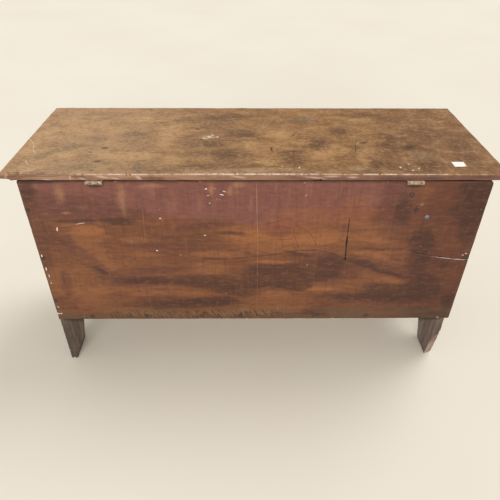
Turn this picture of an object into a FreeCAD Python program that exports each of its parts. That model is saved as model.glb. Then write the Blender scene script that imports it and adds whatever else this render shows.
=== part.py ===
import FreeCAD, Part
import math
import os
import re
import Sketcher

# A boarded coffer: six wide planks nailed edge to face, the two end planks running
# down to the floor as feet. +X is the right end seen from the front, +Y is the back,
# +Z is up. The origin is on the floor under the middle of the whole chest.

SIZES = {
    # lid
    "lid_length": 1203,
    "lid_depth": 440,
    "lid_thickness": 18.5,
    "lid_gap": 0.5,
    "lid_setback": 1,
    # carcase
    "rim_height": 634,
    "back_face": 215,
    "carcase_depth": 417,
    "panel_height": 447,
    "plank_thickness": 20,
    "end_thickness": 19,
    "left_end_thickness": 22,
    "left_end_face": 568,
    "right_end_face": 570,
    "back_board_right": 562,
    "bottom_rise": 189,
    # feet and the arch between them
    "foot_width": 88,
    "foot_slope": 26,
    "arch_radius": 48,
    # till at the left end
    "till_lid_depth": 20,
    "till_lid_thickness": 8,
    "till_lid_overhang": 3,
    "till_bottom_depth": 105,
    "till_bottom_thickness": 10,
    "till_side_top": 368,
    "till_side_foot": 399,
    "till_side_thickness": 12,
    "till_clearance": 1,
    "till_pivot_inset": 9,
    "till_bottom_ledge": 1,
    "till_pivot_radius": 3.5,
    "till_pivot_length": 8,
    "pivot_clearance": 0.08,
    # butt hinges
    "hinge_spacing": 758,
    "hinge_length": 40,
    "leaf_width": 17,
    "leaf_thickness": 2,
    "barrel_radius": 5,
    "barrel_standoff": 0.5,
    "barrel_drop": 1,
    "hinge_pin_radius": 2,
    "hinge_pin_clearance": 0.05,
    "knuckle_gap": 0.3,
    "plate_setback": 1.5,
    "screw_setback": 9.5,
    "screw_spacing": 13,
    "screw_head_radius": 3,
    "screw_shank_radius": 1.4,
    "screw_length": 14,
    "screw_tip_length": 3,
    "screw_head_height": 1.5,
    "screw_slot_width": 0.8,
    "screw_slot_depth": 0.7,
    # wrought nails
    "nail_head_radius": 4.2,
    "nail_head_top": 1.6,
    "nail_head_height": 1.6,
    "nail_shank": 3.2,
    "nail_point": 1,
    "nail_length": 45,
    "back_nail_shift": 5,
    "clout_head_radius": 6,
    "pin_head_radius": 1.9,
    "pin_scale": 0.3,
    "pin_inset": 5,
    # lock on the inner face of the front board
    "lock_width": 96,
    "lock_drop": 57,
    "lock_plate_thickness": 2,
    "lock_recess_width": 76,
    "lock_recess_depth": 14,
    "lock_recess_margin": 7,
    "lock_flange_depth": 17,
    "staple_slot_width": 12,
    "staple_slot_depth": 11.8,
    "bolt_length": 26,
    "bolt_height": 8,
    "bolt_thickness": 3,
    "bolt_end_gap": 4,
    "bolt_top_depth": 12,
    "bolt_notch_width": 6,
    "bolt_notch_depth": 2,
    "staple_width": 8,
    "staple_leg": 2,
    "staple_span": 9,
    "staple_play": 0.5,
    "staple_drop": 26.5,
    "staple_bar": 3,
    "staple_plate_length": 44,
    "staple_plate_depth": 20,
    "guide_thickness": 2.6,
    "guide_width": 5,
    "guide_clearance": 0.4,
    "guide_inset": 2,
    "guide_front": 2,
    "key_post_offset": 18,
    "key_post_rise": 18,
    "key_post_radius": 2,
    "key_post_reach": 3,
    "keyhole_radius": 4,
    "keyhole_slot_width": 4,
    "keyhole_slot_drop": 12,
    "spring_thickness": 0.8,
    "spring_height": 4,
    "spring_width": 4,
    "spring_inset": 2,
    "spring_toe": 2,
    "escutcheon_width": 34,
    "escutcheon_height": 52,
    "escutcheon_thickness": 1.2,
    "escutcheon_drop": 4,
    "escutcheon_shoulder": 17,
    "escutcheon_point": 9,
    # paper label stuck on the lid
    "label_length": 29.5,
    "label_depth": 25.5,
    "label_thickness": 0.2,
    "label_left": 497,
    "label_back_inset": 52,
}

doc = FreeCAD.newDocument("coffer_chest")
sheet = doc.addObject("Spreadsheet::Sheet", "Sizes")
for row, (alias, value) in enumerate(SIZES.items(), 1):
    sheet.set(f"A{row}", alias.replace("_", " "))
    sheet.set(f"B{row}", str(value))
    sheet.setAlias(f"B{row}", alias)
doc.recompute()

V = FreeCAD.Vector
SUBPARTS = []


# ---- binding to the sheet ----


def sized(text):
    """An expression in which each word with an underscore is a cell of the sheet."""
    return re.sub(r"\b([a-z]+(?:_[a-z]+)+)\b", r"Sizes.\1", str(text))


def amount(text):
    return float(sheet.evalExpression(sized(text)))


def bind(thing, **expressions):
    for name, text in expressions.items():
        thing.setExpression(name, sized(text))


def place(thing, x=0, y=0, z=0):
    for axis, text in zip("xyz", (x, y, z)):
        thing.setExpression(f"Placement.Base.{axis}", sized(text))


def subpart(thing, label):
    thing.Label = label
    SUBPARTS.append(thing)
    return thing


# ---- Part primitives and booleans ----


def block(name, length, width, height, x=0, y=0, z=0):
    solid = doc.addObject("Part::Box", name)
    bind(solid, Length=length, Width=width, Height=height)
    place(solid, x, y, z)
    return solid


# The turn that points a piece made along +Z another way.
POINTING = {
    "up": FreeCAD.Rotation(),
    "down": FreeCAD.Rotation(V(1, 0, 0), 180),
    "back": FreeCAD.Rotation(V(1, 0, 0), -90),
    "front": FreeCAD.Rotation(V(1, 0, 0), 90),
    "right": FreeCAD.Rotation(V(0, 1, 0), 90),
    "left": FreeCAD.Rotation(V(0, 1, 0), -90),
}


def rod(name, radius, length, x=0, y=0, z=0, way="up"):
    solid = doc.addObject("Part::Cylinder", name)
    bind(solid, Radius=radius, Height=length)
    solid.Placement = FreeCAD.Placement(V(), POINTING[way])
    place(solid, x, y, z)
    return solid


def cone(name, bottom, top, height, x=0, y=0, z=0):
    solid = doc.addObject("Part::Cone", name)
    bind(solid, Radius1=bottom, Radius2=top, Height=height)
    place(solid, x, y, z)
    return solid


def joined(name, solids):
    fuse = doc.addObject("Part::MultiFuse", name)
    fuse.Shapes = solids
    return fuse


def less(name, base, tools):
    """The base with all the tools cut away."""
    tool = tools[0] if len(tools) == 1 else joined(name + "_tools", tools)
    cut = doc.addObject("Part::Cut", name)
    cut.Base = base
    cut.Tool = tool
    return cut


def copies(label, master, places):
    """Separate copies of one fastener, each at its place and pointing the stated way."""
    links = []
    for number, (x, y, z, way) in enumerate(places, 1):
        link = doc.addObject("App::Link", f"{label}_{number}")
        link.LinkedObject = master
        link.Placement = FreeCAD.Placement(V(), POINTING[way])
        place(link, x, y, z)
        links.append(link)
    group = doc.addObject("Part::Compound", label + "_group")
    group.Links = links
    return subpart(group, label)


# ---- PartDesign planks ----


def new_body(name):
    return doc.addObject("PartDesign::Body", name)


def sketch_on(body, name, role, height=0):
    """A sketch on one of the body's own origin planes, raised along its normal."""
    plane = [item for item in body.Origin.OriginFeatures if item.Role == role][0]
    sketch = body.newObject("Sketcher::SketchObject", name)
    sketch.AttachmentSupport = [(plane, "")]
    sketch.MapMode = "FlatFace"
    sketch.setExpression("AttachmentOffset.Base.z", sized(height))
    return sketch


def dimension(sketch, name, kind, geometry, text):
    index = sketch.addConstraint(Sketcher.Constraint(kind, *geometry, amount(text)))
    sketch.renameConstraint(index, name)
    sketch.setExpression("Constraints." + name, sized(text))


def pin_point(sketch, tag, geometry, point, x, y):
    """Holds one point of the sketch at a place given by two expressions."""
    for kind, text, axis in (("DistanceX", x, -2), ("DistanceY", y, -1)):
        if abs(amount(text)) < 1e-9:
            sketch.addConstraint(Sketcher.Constraint("PointOnObject", geometry, point, axis))
        else:
            dimension(sketch, f"{tag}_{kind[-1].lower()}", kind, (-1, 1, geometry, point), text)


def outline(sketch, tag, corners):
    """A closed outline of straight lines, each corner held by two dimensions."""
    points = [V(amount(x), amount(y), 0) for x, y in corners]
    first = sketch.GeometryCount
    count = len(points)
    for index in range(count):
        sketch.addGeometry(Part.LineSegment(points[index], points[(index + 1) % count]), False)
    for index in range(count):
        after = first + (index + 1) % count
        sketch.addConstraint(Sketcher.Constraint("Coincident", first + index, 2, after, 1))
    for index, (x, y) in enumerate(corners):
        pin_point(sketch, f"{tag}_corner_{'abcdefghij'[index]}", first + index, 1, x, y)


def rectangle(sketch, tag, left, bottom, right, top):
    outline(sketch, tag, [(left, bottom), (right, bottom), (right, top), (left, top)])


def circle(sketch, tag, x, y, radius):
    centre = V(amount(x), amount(y), 0)
    index = sketch.addGeometry(Part.Circle(centre, V(0, 0, 1), amount(radius)), False)
    pin_point(sketch, tag, index, 3, x, y)
    dimension(sketch, tag + "_radius", "Radius", (index,), radius)


def pad(body, sketch, length):
    feature = body.newObject("PartDesign::Pad", sketch.Name + "_pad")
    feature.Profile = sketch
    bind(feature, Length=length)
    doc.recompute()
    return feature


def pocket(body, sketch, length, reverse=False):
    before = body.Shape.Volume
    feature = body.newObject("PartDesign::Pocket", sketch.Name + "_pocket")
    feature.Profile = sketch
    feature.Reversed = reverse
    bind(feature, Length=length)
    doc.recompute()
    assert body.Shape.Volume < before, f"{feature.Name} cuts nothing"
    return feature


def mirrored(body, features):
    """The same cuts again on the other side of the chest's middle."""
    before = body.Shape.Volume
    feature = body.newObject("PartDesign::Mirrored", features[0].Name + "_mirror")
    feature.Originals = features
    plane = [item for item in body.Origin.OriginFeatures if item.Role == "YZ_Plane"][0]
    feature.MirrorPlane = (plane, [""])
    body.Tip = feature
    doc.recompute()
    assert body.Shape.Volume < before, f"{feature.Name} cuts nothing"


# Places that several pieces share, as expressions.
RIM = "rim_height"
LID_UNDER = "(rim_height + lid_gap)"
INNER_BACK = "(back_face - plank_thickness)"
OUTER_FRONT = "(back_face - carcase_depth)"
INNER_FRONT = "(back_face - carcase_depth + plank_thickness)"
INNER_LEFT = "(left_end_thickness - left_end_face)"
INNER_RIGHT = "(right_end_face - end_thickness)"
INNER_DEPTH = "(carcase_depth - 2 * plank_thickness)"
PANEL_FOOT = "(rim_height - panel_height)"
PIN_Y = "(back_face + barrel_standoff + barrel_radius)"
PIN_Z = "(rim_height - barrel_drop)"
TILL_LID_UNDER = "(rim_height - till_lid_depth - till_lid_thickness)"
TILL_PIVOT_X = "(left_end_thickness - left_end_face + till_pivot_inset)"
TILL_PIVOT_Z = "(rim_height - till_lid_depth - till_lid_thickness / 2)"
TILL_FLOOR = "(rim_height - till_bottom_depth + till_bottom_thickness)"
SCREW_Y = "(back_face - screw_setback)"
BOLT_Y = f"({INNER_FRONT} - lock_plate_thickness - staple_span / 2 - staple_play)"
BOLT_TOP = "(rim_height - bolt_top_depth)"
KEYHOLE_Z = "(rim_height - lock_drop + key_post_rise)"
NAIL_ROW_Z = "(bottom_rise + plank_thickness / 2)"

# How far a cutting solid runs past the piece it cuts.
PAST = 1


# ---- carcase planks ----


def hinge_seat(body, name, height, reverse=False):
    """A shallow seat for one hinge leaf, cut in the plank and repeated for the other."""
    seat = sketch_on(body, name, "XY_Plane", height)
    middle = "hinge_spacing / 2"
    rectangle(seat, "seat", f"{middle} - hinge_length / 2", "back_face - leaf_width",
              f"{middle} + hinge_length / 2", f"back_face + {PAST}")
    cut = pocket(body, seat, "leaf_thickness", reverse)
    mirrored(body, [cut])


def make_back_board():
    """The plank across the back, nailed over the back edges of the two end planks."""
    body = new_body("BackBoard")
    face = sketch_on(body, "back_outline", "XZ_Plane", "-back_face")
    rectangle(face, "board", "-left_end_face", PANEL_FOOT, "back_board_right", RIM)
    pad(body, face, "plank_thickness")
    hole = sketch_on(body, "back_till_pivot", "XZ_Plane", f"-{INNER_BACK}")
    circle(hole, "pivot", TILL_PIVOT_X, TILL_PIVOT_Z, "till_pivot_radius + pivot_clearance")
    pocket(body, hole, "till_pivot_length + till_clearance")
    hinge_seat(body, "back_hinge_seat", RIM)
    return subpart(body, "back_board")


def make_front_board():
    """The plank across the front, with the lock let into its inner face and rim."""
    body = new_body("FrontBoard")
    face = sketch_on(body, "front_outline", "XZ_Plane", f"-{INNER_FRONT}")
    rectangle(face, "board", "-left_end_face", PANEL_FOOT, "right_end_face", RIM)
    pad(body, face, "plank_thickness")
    seat = sketch_on(body, "lock_plate_seat", "XZ_Plane", f"-{INNER_FRONT}")
    rectangle(seat, "seat", "-lock_width / 2", "rim_height - lock_drop", "lock_width / 2", RIM)
    pocket(body, seat, "lock_plate_thickness", True)
    recess = sketch_on(body, "lock_recess", "XZ_Plane", f"-{INNER_FRONT}")
    rectangle(recess, "recess", "-lock_recess_width / 2", "rim_height - lock_drop + lock_recess_margin",
              "lock_recess_width / 2", RIM)
    pocket(body, recess, "lock_recess_depth", True)
    flange = sketch_on(body, "lock_flange_seat", "XY_Plane", RIM)
    rectangle(flange, "flange", "-lock_width / 2", f"{INNER_FRONT} - lock_flange_depth",
              "lock_width / 2", INNER_FRONT)
    pocket(body, flange, "lock_plate_thickness")
    keyhole = sketch_on(body, "keyhole", "XZ_Plane", f"-{INNER_FRONT}")
    circle(keyhole, "hole", "-key_post_offset", KEYHOLE_Z, "keyhole_radius")
    pocket(body, keyhole, "plank_thickness", True)
    ward = sketch_on(body, "keyhole_slot", "XZ_Plane", f"-{INNER_FRONT}")
    rectangle(ward, "slot", "-key_post_offset - keyhole_slot_width / 2",
              f"{KEYHOLE_Z} - keyhole_slot_drop",
              "-key_post_offset + keyhole_slot_width / 2", KEYHOLE_Z)
    pocket(body, ward, "plank_thickness", True)
    hole = sketch_on(body, "front_till_pivot", "XZ_Plane", f"-{INNER_FRONT}")
    circle(hole, "pivot", TILL_PIVOT_X, TILL_PIVOT_Z, "till_pivot_radius + pivot_clearance")
    pocket(body, hole, "till_pivot_length + till_clearance", True)
    return subpart(body, "front_board")


def make_end_board(name, label, face_x, thickness):
    """An end plank that reaches the floor, arched below to leave a foot at each edge."""
    body = new_body(name)
    sketch = sketch_on(body, name + "_outline", "YZ_Plane")
    depth = amount(INNER_DEPTH)
    height = amount(RIM)
    foot = amount("foot_width")
    radius = amount("arch_radius")
    middle = depth / 2
    half_span = middle - foot
    slope = math.radians(amount("foot_slope"))
    centre_z = (half_span - radius / math.cos(slope)) / math.tan(slope)
    spring_y = radius * math.cos(slope)
    spring_z = centre_z + radius * math.sin(slope)
    corners = [(0, 0), (foot, 0), (middle - spring_y, spring_z)]
    far = [(middle + spring_y, spring_z), (depth - foot, 0), (depth, 0), (depth, height), (0, height), (0, 0)]
    for start, end in zip(corners, corners[1:]):
        sketch.addGeometry(Part.LineSegment(V(*start, 0), V(*end, 0)), False)
    ring = Part.Circle(V(middle, centre_z, 0), V(0, 0, 1), radius)
    arch = sketch.addGeometry(Part.ArcOfCircle(ring, slope, math.pi - slope), False)
    for start, end in zip(far, far[1:]):
        sketch.addGeometry(Part.LineSegment(V(*start, 0), V(*end, 0)), False)
    front_base, front_slope, back_slope, back_base, back_edge, top, front_edge = 0, 1, 3, 4, 5, 6, 7
    rule = Sketcher.Constraint
    sketch.addConstraint(rule("Coincident", front_base, 1, -1, 1))
    sketch.addConstraint(rule("Coincident", front_base, 2, front_slope, 1))
    sketch.addConstraint(rule("Tangent", front_slope, 2, arch, 2))
    sketch.addConstraint(rule("Tangent", arch, 1, back_slope, 1))
    for line in (back_slope, back_base, back_edge, top):
        sketch.addConstraint(rule("Coincident", line, 2, line + 1, 1))
    sketch.addConstraint(rule("Coincident", front_edge, 2, front_base, 1))
    for line in (front_base, back_base, top):
        sketch.addConstraint(rule("Horizontal", line))
    for line in (back_edge, front_edge):
        sketch.addConstraint(rule("Vertical", line))
    sketch.addConstraint(rule("Equal", front_base, back_base))
    sketch.addConstraint(rule("Equal", front_slope, back_slope))
    dimension(sketch, "foot", "DistanceX", (front_base, 1, front_base, 2), "foot_width")
    dimension(sketch, "depth", "DistanceX", (front_base, 1, back_base, 2), INNER_DEPTH)
    dimension(sketch, "height", "DistanceY", (back_edge, 1, back_edge, 2), RIM)
    dimension(sketch, "arch", "Radius", (arch,), "arch_radius")
    angle = sketch.addConstraint(rule("Angle", back_edge, 1, back_slope, 2, slope))
    sketch.renameConstraint(angle, "slope")
    sketch.setExpression("Constraints.slope", sized("foot_slope * 1 deg"))
    pad(body, sketch, thickness)
    place(body, face_x, INNER_FRONT, 0)
    return subpart(body, label)


def make_bottom_board():
    """The bottom, held between the end planks and under the nails of front and back."""
    body = new_body("BottomBoard")
    face = sketch_on(body, "bottom_outline", "XY_Plane")
    rectangle(face, "board", INNER_LEFT, INNER_FRONT, INNER_RIGHT, INNER_BACK)
    pad(body, face, "plank_thickness")
    place(body, 0, 0, "bottom_rise")
    return subpart(body, "bottom_board")


def make_lid():
    """One wide plank with the upper hinge leaves and the lock's staple let in below."""
    body = new_body("Lid")
    face = sketch_on(body, "lid_outline", "XY_Plane", LID_UNDER)
    rectangle(face, "board", "-lid_length / 2", "back_face - lid_setback - lid_depth",
              "lid_length / 2", "back_face - lid_setback")
    pad(body, face, "lid_thickness")
    hinge_seat(body, "lid_hinge_seat", LID_UNDER, True)
    seat = sketch_on(body, "staple_seat", "XY_Plane", LID_UNDER)
    rectangle(seat, "seat", "-staple_plate_length / 2", f"{BOLT_Y} - staple_plate_depth / 2",
              "staple_plate_length / 2", f"{BOLT_Y} + staple_plate_depth / 2")
    pocket(body, seat, "leaf_thickness", True)
    return subpart(body, "lid")


# ---- till ----


def make_till():
    """The small lidded compartment across the left end, under the main lid."""
    bottom = new_body("TillBottom")
    face = sketch_on(bottom, "till_bottom_outline", "XY_Plane")
    rectangle(face, "board", INNER_LEFT, INNER_FRONT, "till_bottom_ledge - till_side_foot", INNER_BACK)
    pad(bottom, face, "till_bottom_thickness")
    place(bottom, 0, 0, "rim_height - till_bottom_depth")
    subpart(bottom, "till_bottom")

    side = new_body("TillSide")
    face = sketch_on(side, "till_side_outline", "XZ_Plane", f"-{INNER_BACK}")
    top = f"{TILL_LID_UNDER} - lid_gap"
    outline(face, "board", [
        ("-till_side_foot - till_side_thickness", TILL_FLOOR),
        ("-till_side_foot", TILL_FLOOR),
        ("-till_side_top", top),
        ("-till_side_top - till_side_thickness", top),
    ])
    pad(side, face, INNER_DEPTH)
    subpart(side, "till_side")

    lid = new_body("TillLid")
    face = sketch_on(lid, "till_lid_outline", "XY_Plane", TILL_LID_UNDER)
    rectangle(face, "board", f"{INNER_LEFT} + 2 * till_clearance", f"{INNER_FRONT} + till_clearance",
              "till_lid_overhang - till_side_top", f"{INNER_BACK} - till_clearance")
    pad(lid, face, "till_lid_thickness")
    pivots = sketch_on(lid, "till_pivots", "XZ_Plane", f"-{INNER_BACK} - till_pivot_length")
    circle(pivots, "pivot", TILL_PIVOT_X, TILL_PIVOT_Z, "till_pivot_radius")
    pad(lid, pivots, f"{INNER_DEPTH} + 2 * till_pivot_length")
    subpart(lid, "till_lid")


# ---- butt hinges ----


def leaf(label, centre_x, sides, plate_z, countersink_up):
    """A hinge leaf: a screwed plate and the knuckles at the stated steps along X."""
    start = f"{centre_x} - hinge_length / 2"
    step = "hinge_length / 3"
    plate_front = "back_face - leaf_width"
    solids = [block(label + "_plate", "hinge_length", "leaf_width - plate_setback", "leaf_thickness",
                    start, plate_front, plate_z)]
    for side in sides:
        knuckle_start = f"{start} + {side} * {step} + knuckle_gap / 2"
        solids.append(block(f"{label}_neck_{side}", f"{step} - knuckle_gap",
                            f"{PIN_Y} - ({plate_front})", "leaf_thickness",
                            knuckle_start, plate_front, plate_z))
        solids.append(rod(f"{label}_knuckle_{side}", "barrel_radius", f"{step} - knuckle_gap",
                          knuckle_start, PIN_Y, PIN_Z, "right"))
    body = joined(label + "_solid", solids)
    tools = [rod(label + "_bore", "hinge_pin_radius + hinge_pin_clearance", f"hinge_length + 2 * {PAST}",
                 f"{start} - {PAST}", PIN_Y, PIN_Z, "right")]
    for number in (-1, 0, 1):
        x = f"{centre_x} + {number} * screw_spacing"
        tools.append(rod(f"{label}_hole_{number + 1}", "screw_shank_radius",
                         f"leaf_thickness + 2 * {PAST}", x, SCREW_Y, f"{plate_z} - {PAST}"))
        bottom, top = ("screw_shank_radius", "screw_head_radius")
        sink_z = f"{plate_z} + leaf_thickness - screw_head_height"
        if not countersink_up:
            bottom, top = top, bottom
            sink_z = plate_z
        tools.append(cone(f"{label}_sink_{number + 1}", bottom, top, "screw_head_height",
                          x, SCREW_Y, sink_z))
    return subpart(less(label + "_cut", body, tools), label)


def make_hinges():
    for side, centre_x in (("left", "(-hinge_spacing / 2)"), ("right", "(hinge_spacing / 2)")):
        leaf(f"{side}_hinge_carcase_leaf", centre_x, (0, 2), "rim_height - leaf_thickness", True)
        leaf(f"{side}_hinge_lid_leaf", centre_x, (1,), LID_UNDER, False)
        pin = rod(f"{side}_pin", "hinge_pin_radius", "hinge_length",
                  f"{centre_x} - hinge_length / 2", PIN_Y, PIN_Z, "right")
        subpart(pin, f"{side}_hinge_pin")


def make_screw():
    """A slotted wood screw with its head's face at the origin, pointing up."""
    head = cone("screw_head", "screw_head_radius", "screw_shank_radius", "screw_head_height")
    shank = rod("screw_shank", "screw_shank_radius", "screw_length - screw_tip_length")
    tip = cone("screw_tip", "screw_shank_radius", "screw_shank_radius / 4", "screw_tip_length",
               z="screw_length - screw_tip_length")
    slot = block("screw_slot", f"2 * (screw_head_radius + {PAST})", "screw_slot_width", "screw_slot_depth",
                 f"-screw_head_radius - {PAST}", "-screw_slot_width / 2", "0")
    return less("screw", joined("screw_solid", [head, shank, tip]), [slot])


def make_screws():
    screw = make_screw()
    columns = [f"{side} * hinge_spacing / 2 + {number} * screw_spacing"
               for side in (-1, 1) for number in (-1, 0, 1)]
    copies("hinge_carcase_screws", screw, [(x, SCREW_Y, RIM, "down") for x in columns])
    copies("hinge_lid_screws", screw, [(x, SCREW_Y, LID_UNDER, "up") for x in columns])


# ---- nails ----


def make_nail(name, head_radius, scale="1"):
    """A wrought nail: a low hammered head under the origin and a tapering square shank
    that runs up from it."""
    head = cone(name + "_head", f"nail_head_top * {scale}", head_radius, f"nail_head_height * {scale}",
                z=f"-nail_head_height * {scale}")
    shank = doc.addObject("Part::Wedge", name + "_shank")
    half = f"nail_shank * {scale} / 2"
    point = f"nail_point * {scale} / 2"
    bind(shank, Xmin=f"-{half}", Xmax=half, Zmin=f"-{half}", Zmax=half, Ymin="0",
         Ymax=f"nail_length * {scale}", X2min=f"-{point}", X2max=point, Z2min=f"-{point}", Z2max=point)
    shank.Placement = FreeCAD.Placement(V(), FreeCAD.Rotation(V(1, 0, 0), 90))
    return joined(name, [head, shank])


BACK_BOTTOM_NAILS = (463, 307, 149, 38, -176, -325)
FRONT_BOTTOM_NAILS = (470, 282, 94, -94, -282, -470)
END_NAIL_HEIGHTS = (258, 408, 556)
SIDE_BOTTOM_NAILS = (-120, 6, 130)
TILL_NAILS = ((-379, 598), (-398, 555))
CLOUT_NAIL = (-429, 534)


def make_nails():
    nail = make_nail("nail", "nail_head_radius")
    pin = make_nail("small_pin", "pin_head_radius", "pin_scale")
    left_x = "end_thickness / 2 - left_end_face"
    right_x = "right_end_face - end_thickness / 2"

    copies("back_bottom_nails", nail, [(x, "back_face", NAIL_ROW_Z, "front") for x in BACK_BOTTOM_NAILS])
    copies("front_bottom_nails", nail, [(x, OUTER_FRONT, NAIL_ROW_Z, "back") for x in FRONT_BOTTOM_NAILS])
    back_columns = (left_x, f"{right_x} - back_nail_shift")
    copies("back_end_nails", nail, [(x, "back_face", z, "front")
                                    for x in back_columns for z in END_NAIL_HEIGHTS])
    copies("front_end_nails", nail, [(x, OUTER_FRONT, z, "back")
                                     for x in (left_x, right_x) for z in END_NAIL_HEIGHTS])
    copies("end_bottom_nails", nail, [(x, y, NAIL_ROW_Z, way)
                                      for x, way in (("-left_end_face", "right"), ("right_end_face", "left"))
                                      for y in SIDE_BOTTOM_NAILS])
    copies("till_nails", nail, [(x, "back_face", z, "front") for x, z in TILL_NAILS]
           + [(x, OUTER_FRONT, z, "back") for x, z in TILL_NAILS + (CLOUT_NAIL,)])
    clout = make_nail("clout", "clout_head_radius")
    copies("till_clout_nail", clout, [(CLOUT_NAIL[0], "back_face", CLOUT_NAIL[1], "front")])
    return pin


# ---- lock ----


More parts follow.
